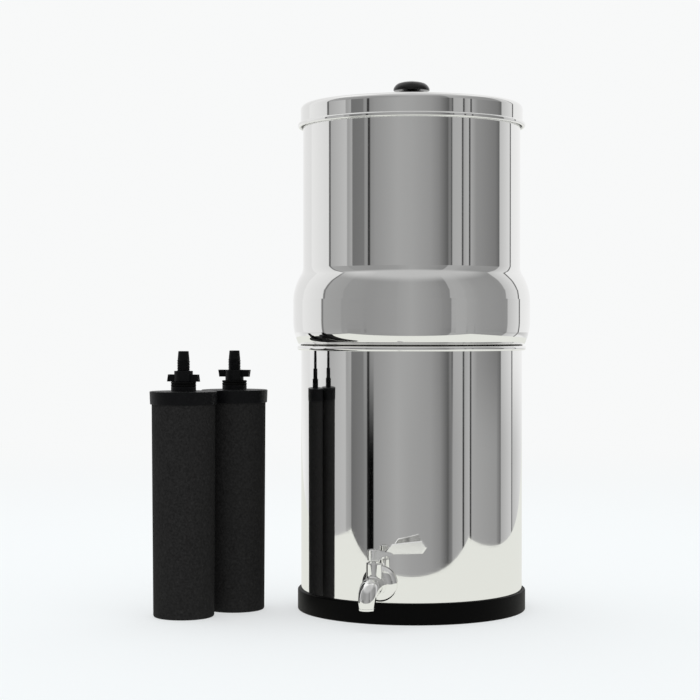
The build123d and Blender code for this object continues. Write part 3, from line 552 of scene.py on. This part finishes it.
def outline(bm, corners, closed=False):
    """Joins corners (distance out, height, rounding radius), in mm, by edges and rounds them."""
    points = [Vector((out, 0, up)) * MM for out, up, _ in corners]
    verts = [bm.verts.new(point) for point in points]
    for pair in list(zip(verts, verts[1:])) + ([(verts[-1], verts[0])] if closed else []):
        bm.edges.new(pair)
    for count, (_, _, radius) in enumerate(corners):
        if radius:
            arriving = points[count] - points[count - 1]
            leaving = points[(count + 1) % len(points)] - points[count]
            swing = arriving.angle(leaving)
            bmesh.ops.bevel(bm, geom=[verts[count]], offset=radius * MM * tan(swing / 2), offset_type="OFFSET",
                            segments=max(2, round(swing / ARC_STEP)), profile=0.5, affect="VERTICES", material=-1)


def turn(bm, steps):
    """Spins the loose wires once round the Z axis, closes seam and poles, and faces them outwards."""
    wires = [edge for edge in bm.edges if not edge.link_faces]
    ends = list({vert for edge in wires for vert in edge.verts})
    before = set(bm.faces)
    bmesh.ops.spin(bm, geom=ends + wires, cent=(0, 0, 0), axis=(0, 0, 1), angle=2 * pi, steps=steps, use_merge=True)
    bmesh.ops.remove_doubles(bm, verts=bm.verts, dist=1e-6)
    made = [face for face in bm.faces if face not in before]
    bmesh.ops.recalc_face_normals(bm, faces=made)
    return made


def turned(corners, steps=SMALL_TURN, closed=False, sheet=0.0, place=None):
    """A bmesh of one turned profile, moved by place if given; a sheet, in mm, gives an open profile its wall."""
    bm = bmesh.new()
    outline(bm, corners, closed)
    faces = turn(bm, steps)
    if sheet:
        bmesh.ops.solidify(bm, geom=faces, thickness=sheet * MM)
    if place:
        bmesh.ops.transform(bm, matrix=place, verts=bm.verts)
    return bm


# %% [markdown]
# A finished bmesh becomes a piece in one place. The piece gets smooth shading with its true edges
# kept sharp.
# %% Making a piece
SHARP_EDGE = radians(32)
dressed = []  # every piece made here, for the shading step near the end


def make_piece(name, bm, body, material, stands_for, place=None):
    """Makes a piece of a bmesh, moved by place if given."""
    if place:
        bmesh.ops.transform(bm, matrix=place, verts=bm.verts)
    mesh = bpy.data.meshes.new(name)
    bm.to_mesh(mesh)
    bm.free()
    mesh.shade_smooth()
    mesh.set_sharp_from_angle(angle=SHARP_EDGE)
    mesh.materials.append(material)
    piece = new_object(name, mesh)
    dressed.append(piece)
    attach(piece, body)
    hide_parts(*stands_for)
    print(f"{name}: {len(mesh.polygons)} faces, rides on {body}")
    return piece


def levels(node):
    """A node's lowest and highest corners, in mm."""
    return [[v / MM for v in corner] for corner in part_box(node)]


# %% [markdown]
# ## The lower chamber
# A straight drum of 0.8 mm sheet. Only its outside shows, with the bead that ends it: the sheet is
# rolled outwards round a wire. One open profile makes the drum, Solidify gives the sheet its
# thickness, and a small circle turned round the axis makes the bead.
# %% Lower chamber
STEEL_SHEET = 0.8
LOWER_BEAD = 2.35  # radius of the bead

_, (lower_r, _, foot_top) = levels("lower_chamber_floor")
_, (_, _, lower_top) = levels("lower_chamber_wall")


def wired_rim(bm, centre, height, radius):
    """Adds a rolled bead: a circle in the profile's plane, turned round the axis."""
    outline(bm, [(centre - radius, height - radius, radius), (centre + radius, height - radius, radius),
                 (centre + radius, height + radius, radius), (centre - radius, height + radius, radius)], closed=True)
    turn(bm, FINE_TURN)


bm = turned([(lower_r, foot_top, 0), (lower_r, lower_top - LOWER_BEAD, 0)], FINE_TURN, sheet=STEEL_SHEET)
wired_rim(bm, lower_r - STEEL_SHEET + LOWER_BEAD, lower_top - LOWER_BEAD, LOWER_BEAD)
make_piece("lower_drum", bm, "base", sheet_steel, ["lower_chamber_wall"])

# %% [markdown]
# ## The upper chamber
# The upper chamber hangs in the lower one by its neck. Above the seam it swells to a bulge, and a
# shoulder of two arcs leads back to the straight wall. The arcs' radii are the pressing's own, because
# they decide how the room bends in the steel there: a different curve would show at once.
# %% Upper chamber
NECK_R = 104.5
TUCK_ROUND = 1.5  # where the neck turns out over the lower rim
TUCK_R = 5.0
BELLY_R = 45.0
SHOULDER_IN = 9.7  # the straight wall stands this far inside the bulge
SHOULDER_H = 31.2
SHOULDER_CONVEX = 0.78  # share of the shoulder that belongs to its outer arc
UPPER_BEAD = 1.3  # radius of the bead
SEAT_TOP = 257.34  # underside of the tuck, just over the lower rim
BELLY_CORNER = (109.87, 269.48)  # foot of the tuck arc and corner of the belly arc
BULGE_TOP = 301.97

(_, _, neck_foot), (bulge_r, _, upper_top) = levels("upper_chamber_wall")
upper_r = bulge_r - SHOULDER_IN
lean = 2 * atan(SHOULDER_IN / SHOULDER_H)
arcs_r = SHOULDER_H / sin(lean)
convex_r = arcs_r * SHOULDER_CONVEX
concave_r = arcs_r - convex_r
bm = turned([
    (NECK_R, neck_foot, 0),
    (NECK_R, SEAT_TOP, TUCK_ROUND),
    (BELLY_CORNER[0], SEAT_TOP, TUCK_R),
    (bulge_r, BELLY_CORNER[1], BELLY_R),
    (bulge_r, BULGE_TOP + convex_r * tan(lean / 2), convex_r),
    (upper_r, BULGE_TOP + SHOULDER_H - concave_r * tan(lean / 2), concave_r),
    (upper_r, upper_top - UPPER_BEAD, 0),
], FINE_TURN, sheet=STEEL_SHEET)
wired_rim(bm, upper_r - STEEL_SHEET / 2, upper_top - UPPER_BEAD, UPPER_BEAD)
make_piece("upper_drum", bm, "upper_chamber", bulged_steel, ["upper_chamber_wall"])

# %% [markdown]
# ## Base ring
# A black rubber ring keeps the drum off the worktop. It has an L-shaped section: a lip that stands up
# round the wall and a shelf under the drum's rounded corner.
# %% Base ring
BASE_FLOOR = 3.0
BASE_SHELF = 16.0
BASE_EDGE = 1.2
FOOT_ROUND = 8.0  # of the drum's foot, which the ring's shelf follows

_, (base_r, _, base_top) = levels("base_ring")
bm = turned([
    (lower_r - BASE_SHELF, 0, 0.6),
    (base_r, 0, BASE_EDGE),
    (base_r, base_top, BASE_EDGE),
    (lower_r, base_top, 0.5),
    (lower_r, BASE_FLOOR, FOOT_ROUND),
    (lower_r - BASE_SHELF, BASE_FLOOR, 0.6),
], FINE_TURN, closed=True)
make_piece("rubber_ring", bm, "base", rubber, ["base_ring"])

# %% [markdown]
# ## Lid and knob
# The lid is a shallow pressed cap whose lower edge is rolled into a flat hem. Its profile starts on
# the axis, and the spin's merged doubles close the pole. The knob is a moulding with a broad crown, a
# thin band at its widest and a waist for the fingers.
# %% Lid
LID_SHEET = 0.7
LID_CORNER = 5.4
HEM_W = 3.4
HEM_H = 4.2
SKIRT_H = 22.5  # from the lid's top to the foot of its hem

_, (hem_r, _, lid_top) = levels("lid")
lid_low = lid_top - SKIRT_H
skirt_r = hem_r + LID_SHEET - HEM_W
hem_round = HEM_W / 2 - 0.05  # not quite a half circle, so that no edge shrinks to nothing
bm = turned([
    (0, lid_top, 0),
    (skirt_r, lid_top, LID_CORNER),
    (skirt_r, lid_low + HEM_H, 0.5),
    (hem_r, lid_low + HEM_H, hem_round),
    (hem_r, lid_low, hem_round),
    (skirt_r - LID_SHEET, lid_low, hem_round),
    (skirt_r - LID_SHEET, lid_top - LID_SHEET, LID_CORNER - LID_SHEET),
    (0, lid_top - LID_SHEET, 0),
], FINE_TURN)
make_piece("lid_cap", bm, "lid_and_knob", sheet_steel, ["lid"])

# %% Knob
CROWN_R, CROWN_ROUND = 6.5, 37.0  # corner and rounding of the crown's broad middle
BROW_R, BROW_DROP, BROW_ROUND = 16.6, 3.65, 8.1  # where the crown falls off to the band
BAND_TOP, BAND_LOW = 15.8, 14.0  # above the knob's foot, like all heights below
WAIST_R, WAIST_TOP, WAIST_ROUND = 9.5, 12.6, 4.5
FLARE_R, FLARE_H, FLARE_ROUND = 11.4, 0.4, 1.6

(_, _, knob_foot), (knob_r, _, knob_top) = levels("lid_knob")
bm = turned([
    (0, knob_top, 0),
    (CROWN_R, knob_top, CROWN_ROUND),
    (BROW_R, knob_top - BROW_DROP, BROW_ROUND),
    (knob_r, knob_foot + BAND_TOP, 0.5),
    (knob_r, knob_foot + BAND_LOW, 0.8),
    (WAIST_R, knob_foot + WAIST_TOP, WAIST_ROUND),
    (WAIST_R, knob_foot + FLARE_H, FLARE_ROUND),
    (FLARE_R, knob_foot + FLARE_H, 0),
    (FLARE_R, knob_foot, 0),
    (0, knob_foot, 0),
], 96)
make_piece("grip_knob", bm, "lid_and_knob", gloss_black, ["lid_knob"])

# %% [markdown]
# ## The tap
# The tap is a polished casting. Its turned parts are made upright at the origin and then laid along
# the tap's axis, so the same profile helper serves. Places along the axis are distances out from the
# vessel's axis, as a fitter would measure them.
# %% Tap axes
TAP_Z = 38.0  # height of the tap's axis
BARREL_R = 8.4
CHAMBER_R = 9.3  # swell that holds the ball
BOSS_R = 7.2  # upright boss that carries the stem
GLAND_STAND = 1.3  # the gland nut's rim above the boss
HUB_GAP = 0.6  # between that rim and the lever's hub

along_tap = Matrix.Translation((0, 0, TAP_Z * MM)) @ Matrix.Rotation(pi / 2, 4, "X")
(_, hub_front, hub_foot), (lever_tip, hub_back, _) = levels("tap_lever")
(_, body_front, _), _ = levels("tap_body")
stem_out = -(hub_front + hub_back) / 2
stem_place = Matrix.Translation((0, -stem_out * MM, 0))
print("stem stands", round(stem_out, 2), "mm from the vessel's axis")

# %% Flange
FLANGE_RIM = 1.2  # thickness at the edge
DOME_R, DOME_OUT, DOME_ROUND = 14.0, 6.1, 10.5  # corner and rounding of the dome, counted from the wall

(flange_r, flange_front, _), (_, flange_back, _) = levels("tap_flange")
flange_r, flange_out, dome_out = -flange_r, -flange_back, -flange_front
bm = turned([
    (BARREL_R - 0.5, flange_out, 0),
    (flange_r, flange_out, 0.4),
    (flange_r, flange_out + FLANGE_RIM, 0.5),
    (DOME_R, flange_out + DOME_OUT, DOME_ROUND),
    (BARREL_R + 0.6, dome_out, 0.6),
    (BARREL_R - 0.5, dome_out, 0),
], 128, closed=True)
make_piece("wall_flange", bm, "base", tap_steel, ["tap_flange"], along_tap)

# %% [markdown]
# The body joins a lying barrel and an upright boss, and a casting has no sharp corner there. So the two
# are turned apart, joined by a boolean, remeshed into even small squares and smoothed a little: that
# rounds the join the way a polishing wheel does. Beveling the joint's own edge is the other way, but
# it runs through facets smaller than the bevel.
# %% Cast body
CAST_VOXEL = 0.45
CAST_SMOOTHING = 10


def loose_object(name, bm):
    """An object for a modifier to work on, deleted again afterwards."""
    mesh = bpy.data.meshes.new(name)
    bm.to_mesh(mesh)
    bm.free()
    return new_object(name, mesh)


def joined(first, second, voxel=0.0, operation="UNION"):
    """Two closed bmeshes as one; a voxel size, in mm, remeshes and smooths it like a casting."""
    one, other = loose_object("one", first), loose_object("other", second)
    boolean = one.modifiers.new("boolean", "BOOLEAN")
    boolean.operation = operation
    boolean.solver = "EXACT"
    boolean.object = other
    if voxel:
        remesh = one.modifiers.new("remesh", "REMESH")
        remesh.mode = "VOXEL"
        remesh.voxel_size = voxel * MM
        soften = one.modifiers.new("soften", "SMOOTH")
        soften.factor = 0.5
        soften.iterations = CAST_SMOOTHING
    done = bmesh.new()
    done.from_object(one, bpy.context.evaluated_depsgraph_get())
    for used in (one, other):
        bpy.data.objects.remove(used)
    return done


boss_top = hub_foot - HUB_GAP - GLAND_STAND
front_out = -body_front
barrel = turned([
    (0, dome_out - 3.5, 0),
    (BARREL_R, dome_out - 3.5, 0),
    (BARREL_R, dome_out + 1.0, 6.0),
    (CHAMBER_R, dome_out + 5.0, 6.0),
    (CHAMBER_R, front_out, 0),
    (0, front_out, 0),
], 96, place=along_tap)
boss = turned([(0, TAP_Z, 0), (BOSS_R, TAP_Z, 0), (BOSS_R, boss_top, 0.5), (0, boss_top, 0)], 96, place=stem_place)
make_piece("valve_body", joined(barrel, boss, CAST_VOXEL), "base", tap_steel, ["tap_body"])

# %% [markdown]
# The spout bends down through a quarter circle and narrows on the way. A ring of the right size is
# set across the bend at each small step, and each ring is bridged to the next, first down the outside
# and then back up inside the bore.
# %% Spout
BEND_R = 14.5
KNEE_R = 7.5  # outside radius at the end of the bend
DROP = 2.5  # tapered stretch straight down from there
MOUTH_R = 7.05
LIP_R = 7.2
LIP_H = 2.0
BORE_R = 3.4
BORE_MOUTH_R = 5.3
BEND_STEPS = 36


def spout_ring(share, radius, drop=0.0):
    """A closed ring of edges across the elbow's centre line, or straight below the end of its bend."""
    angle = share * pi / 2
    centre = Vector((0, -(front_out + BEND_R * sin(angle)), TAP_Z - BEND_R * (1 - cos(angle)) - drop)) * MM
    place = Matrix.Translation(centre) @ Matrix.Rotation(pi / 2 + angle, 4, "X")
    made = bmesh.ops.create_circle(bm, segments=SMALL_TURN, radius=radius * MM, matrix=place, cap_ends=False)
    return list({edge for vert in made["verts"] for edge in vert.link_edges})


bm = bmesh.new()
rings = [spout_ring(step / BEND_STEPS, CHAMBER_R - (CHAMBER_R - KNEE_R) * (step / BEND_STEPS) ** 2)
         for step in range(BEND_STEPS + 1)]
rings += [spout_ring(1, radius, drop) for drop, radius in  # the taper, and a lip with a rounded edge
          ((DROP - 0.1, MOUTH_R), (DROP + 0.05, LIP_R - 0.05), (DROP + 0.2, LIP_R), (DROP + LIP_H - 0.4, LIP_R),
           (DROP + LIP_H - 0.12, LIP_R - 0.12), (DROP + LIP_H, LIP_R - 0.4), (DROP + LIP_H, BORE_MOUTH_R))]
rings += [spout_ring(1 - step / BEND_STEPS, BORE_MOUTH_R - (BORE_MOUTH_R - BORE_R) * (step / BEND_STEPS))
          for step in range(BEND_STEPS + 1)]
for ring, following in zip(rings, rings[1:] + rings[:1]):
    bmesh.ops.bridge_loops(bm, edges=ring + following)
bmesh.ops.recalc_face_normals(bm, faces=bm.faces)
make_piece("spout_elbow", bm, "base", tap_steel, ["tap_spout"])

# %% [markdown]
# ## The lever
# The lever is one casting: a hub on the stem, a gooseneck arm and a flat paddle with a pointed tip.
# Arm and paddle are flat outlines, extruded, and the arm's side view is cut to its plan. The paddle
# looks down a little, so it mirrors the pale table and not the dark room. A Bevel modifier then takes
# the same small edge off all of it.
# %% Lever
EDGE_ROUND = 0.35
HUB_R = 6.1
HUB_H = 10.0
ARM_W = 11.0  # at the hub
RECESS_R, RECESS_H = 3.1, 3.0  # for the screw's head
PADDLE_T = 2.6
PADDLE_CHAMFER = 0.8
PADDLE_ROOT = 8.5  # where it starts inside the arm, from the stem's axis
PADDLE_START, PADDLE_END = 17.6, 46.2  # its long edges run between these
PADDLE_LOW, PADDLE_TOP = 6.1, 15.8  # at its start, above the hub's foot
PADDLE_END_H = 11.8
PADDLE_CLIMB = radians(3.6)  # of its lower edge
PADDLE_MIDDLE = 11.0  # above the hub's foot; the paddle leans about this height
PADDLE_LEAN = radians(3.5)


def plate(points, thickness, place, bevel=0.0):
    """A flat outline, in mm, extruded to both sides, its rims chamfered if asked, and moved to its place."""
    made = bmesh.new()
    face = made.faces.new([made.verts.new((x * MM, y * MM, -thickness / 2 * MM)) for x, y in points])
    raised = bmesh.ops.extrude_face_region(made, geom=[face])
    bmesh.ops.translate(made, vec=(0, 0, thickness * MM),
                        verts=[item for item in raised["geom"] if isinstance(item, bmesh.types.BMVert)])
    bmesh.ops.recalc_face_normals(made, faces=made.faces)
    if bevel:
        rims = [edge for edge in made.edges if abs(edge.verts[0].co.z - edge.verts[1].co.z) < 1e-6]
        bmesh.ops.bevel(made, geom=rims, offset=bevel * MM, offset_type="OFFSET", segments=1, profile=0.5,
                        affect="EDGES")
    bmesh.ops.transform(made, matrix=place, verts=made.verts)
    return made


def raised_by(height):
    """A move straight up, in mm."""
    return Matrix.Translation((0, 0, height * MM))


on_edge = Matrix.Rotation(pi / 2, 4, "X")
upright = stem_place @ raised_by(hub_foot) @ on_edge
leaning = (stem_place @ raised_by(hub_foot + PADDLE_MIDDLE) @ Matrix.Rotation(PADDLE_LEAN, 4, "X")
           @ raised_by(-PADDLE_MIDDLE) @ on_edge)
flat = stem_place @ raised_by(hub_foot + HUB_H / 2)

hub_top = hub_foot + HUB_H
hub = turned([(0, hub_foot, 0), (HUB_R, hub_foot, 0.6), (HUB_R, hub_top, 0.7), (RECESS_R, hub_top, 0.2),
              (RECESS_R, hub_top - RECESS_H, 0), (0, hub_top - RECESS_H, 0)], 96, place=stem_place)
tip_low = PADDLE_LOW + (PADDLE_END - PADDLE_START) * tan(PADDLE_CLIMB)
paddle = plate([(PADDLE_ROOT, PADDLE_LOW), (PADDLE_START, PADDLE_LOW), (PADDLE_END, tip_low),
                (lever_tip, tip_low + PADDLE_END_H / 2), (PADDLE_END, tip_low + PADDLE_END_H),
                (PADDLE_START, PADDLE_TOP)], PADDLE_T, leaning, PADDLE_CHAMFER)
arm_side = plate([(0, 0.7), (6.1, 0.7), (7.8, 1.2), (8.8, 2.4), (9.1, 3.7), (18.9, 6.1), (17.6, 7.4), (8.5, 8.6),
                  (0, 8.6)], ARM_W, upright)
arm_plan = plate([(3.6, -ARM_W / 2), (6.1, -ARM_W / 2), (18.9, -PADDLE_T / 2), (18.9, PADDLE_T / 2),
                  (6.1, ARM_W / 2), (3.6, ARM_W / 2)], HUB_H, flat)
casting = joined(hub, joined(joined(arm_side, arm_plan, operation="INTERSECT"), paddle))
lever = make_piece("lever_handle", casting, "lever_and_ball", satin_steel, ["tap_lever"])


def soft_edges(piece, width, angle):
    """Rounds a piece's sharp edges by a width in mm."""
    edges = piece.modifiers.new("soft_edges", "BEVEL")
    edges.width = width * MM
    edges.segments = 3
    edges.limit_method = "ANGLE"
    edges.angle_limit = angle


soft_edges(lever, EDGE_ROUND, radians(30))

# %% [markdown]
# ## Filter elements
# Two carbon elements stand beside the vessel. Each has a pressed carbon block, a moulded cap with a
# threaded stem, a silicone washer of two lips and a wing nut. One function makes an element, because
# the pair differ only in place and in which way up the wing nut sits.
# %% Thread helper
THREAD_STEPS = 40  # once round
ROOT_SHARE, CREST_SHARE = 0.42, 0.12  # half widths of the ridge, as shares of the pitch
ROOT_SINK = 0.2  # how far the ridge starts inside the stem


def add_thread(bm, root_r, crest_r, low, high, pitch):
    """A helical ridge round the Z axis: a small trapezium carried up by a spin with a rise."""
    foot, half, crest = root_r - ROOT_SINK, pitch * ROOT_SHARE, CREST_SHARE * pitch
    corners = [(foot, low - half), (crest_r, low - crest), (crest_r, low + crest), (foot, low + half)]
    verts = [bm.verts.new((out * MM, 0, up * MM)) for out, up in corners]
    start = bm.faces.new(verts)
    turns = (high - low) / pitch
    before = set(bm.faces) - {start}
    bmesh.ops.spin(bm, geom=[start], cent=(0, 0, 0), axis=(0, 0, 1), dvec=(0, 0, pitch * MM / THREAD_STEPS),
                   angle=2 * pi * turns, steps=round(turns * THREAD_STEPS))
    made = [face for face in bm.faces if face not in before]
    bmesh.ops.recalc_face_normals(bm, faces=made)


# %% Filter elements
CARBON_TOP_R = 30.3
CARBON_FOOT_R = 29.0
CAP_FOOT_R = 31.8
CAP_R = 32.3
CARBON_SINK, CAP_SINK = 5.5, 6.0  # inside the cap, above its lower edge: the block's top and the cap's own
BOSS_OUT = 11.9
BOSS_H = 4.6
STEM_R = 6.1
TIP_R = 4.9
TIP_H = 7.6
BORE_OUT = 2.6
THREAD_PITCH = 1.5
THREAD_DEPTH = 0.5
WASHER_R = 12.0
GROOVE_R = 11.1  # of the groove between the washer's two lips
NUT_CLEAR = 0.05  # between the washer or the stem and the nut that turns on them
NUT_R = 8.9
NUT_EDGE = 0.9
WING_ROOT = 8.0
WING_SPAN = 32.1
WING_TAPER = 1.0
WING_H = 6.8
WING_T = 5.0


def filter_element(count, wings_up):
    """One element at its own place: block, cap, washer and wing nut."""
    body, nut_body = f"filter_{count}", f"filter_{count}_nut"
    (left, front, _), (right, back, _) = levels(f"carbon_block_{count}")
    place = Matrix.Translation(((left + right) / 2 * MM, (front + back) / 2 * MM, 0))
    (_, _, cap_low), (_, _, top) = levels(f"filter_cap_{count}")
    (_, _, nut_low), (_, _, nut_top) = levels(f"wing_nut_{count}")
    boss_top = levels(f"stem_washer_{count}")[0][2]
    cap_top = boss_top - BOSS_H
    washer_top = nut_low - NUT_CLEAR
    thread_top = top - TIP_H
    root_r = STEM_R - THREAD_DEPTH

    bm = turned([(0, 0, 0), (CARBON_FOOT_R, 0, 2.0), (CARBON_TOP_R, cap_low, 0),
                 (CARBON_TOP_R, cap_low + CARBON_SINK, 0), (0, cap_low + CARBON_SINK, 0)], 128)
    make_piece(f"carbon_{count}", bm, body, carbon, [f"carbon_block_{count}"], place)

    bm = turned([(CARBON_TOP_R, cap_low + CAP_SINK, 0), (CARBON_TOP_R, cap_low, 0.2), (CAP_FOOT_R, cap_low, 0.4),
                 (CAP_R, cap_top, 0.8), (BOSS_OUT, cap_top, 0.6), (BOSS_OUT, boss_top, 0.5), (root_r, boss_top, 0.3),
                 (root_r, thread_top, 0), (TIP_R, top, 0.5), (BORE_OUT, top, 0.3), (BORE_OUT, cap_low + CAP_SINK, 0)],
                128, closed=True)
    add_thread(bm, root_r, STEM_R, boss_top + 1.2, thread_top - 0.9, THREAD_PITCH)
    make_piece(f"cap_and_stem_{count}", bm, body, moulded_black, [f"filter_cap_{count}"], place)

    bm = turned([(STEM_R, boss_top, 0), (WASHER_R, boss_top, 0.6), (WASHER_R, boss_top + 1.9, 0.6),
                 (GROOVE_R, boss_top + 2.3, 0.2), (WASHER_R, boss_top + 2.7, 0.6), (WASHER_R, washer_top, 0.6),
                 (STEM_R, washer_top, 0)], SMALL_TURN, closed=True)
    make_piece(f"lip_washer_{count}", bm, body, soft_black, [f"stem_washer_{count}"], place)

    nut_bore_r = STEM_R + NUT_CLEAR
    nut = turned([(nut_bore_r, nut_low, 0.2), (NUT_R, nut_low, 0.5), (NUT_R, nut_top, 0.5), (nut_bore_r, nut_top, 0.3)],
                 SMALL_TURN, closed=True)
    wing_low = nut_top - WING_H if wings_up else nut_low
    wide, narrow = WING_SPAN / 2, WING_SPAN / 2 - WING_TAPER
    low_out, high_out = (narrow, wide) if wings_up else (wide, narrow)
    for half_turn in (0, pi):
        wing = plate([(WING_ROOT, 0), (low_out, 0), (high_out, WING_H), (WING_ROOT, WING_H)], WING_T,
                     Matrix.Rotation(half_turn, 4, "Z") @ raised_by(wing_low) @ on_edge)
        nut = joined(nut, wing)
    nut = make_piece(f"winged_nut_{count}", nut, nut_body, moulded_black, [f"wing_nut_{count}"],
                     place)
    soft_edges(nut, NUT_EDGE, radians(35))


filter_element(1, wings_up=False)
filter_element(2, wings_up=True)

# %% [markdown]
# ## The inner pieces
# What is left are the pieces that show only when the vessel is opened: valve, washers, plugs, screws.
# Their own meshes are right as they are, so they get a finish by the slot that each one names. Only the
# chambers' floors differ from their slot, because they show from inside.
# %% Finishes for the remaining nodes
finish_of_slot = {
    "mirror_steel": sheet_steel, "fastener_steel": plain_steel, "tap_chrome": tap_steel, "valve_steel": ground_steel,
    "base_rubber": rubber, "silicone": soft_black, "seat_ptfe": white_seal, "knob_plastic": gloss_black,
    "insert_brass": brass, "carbon": carbon, "black_plastic": moulded_black,
}
slot_of_node = {row["node"]: row["material_slot"] for row in frame["record"]["subparts"]}
for name, node in frame["nodes"].items():
    for material_slot in node.material_slots:
        finish = inner_steel if name.endswith("chamber_floor") else finish_of_slot[slot_of_node[name]]
        material_slot.material = finish
print("finished", len(frame["nodes"]), "nodes by slot")

# %% [markdown]
# ## Even walls
# A Weighted Normal modifier lets the long flat walls decide the shading beside a small rounding.
# Without it every wall would seem to swell near its corners. It comes last on each piece, since it
# must see the edges that the Bevel modifiers have made.
# %% Shading of the dressed pieces
for piece in dressed:
    flat_walls = piece.modifiers.new("flat_walls", "WEIGHTED_NORMAL")
    flat_walls.keep_sharp = True
print("even walls on", len(dressed), "pieces")
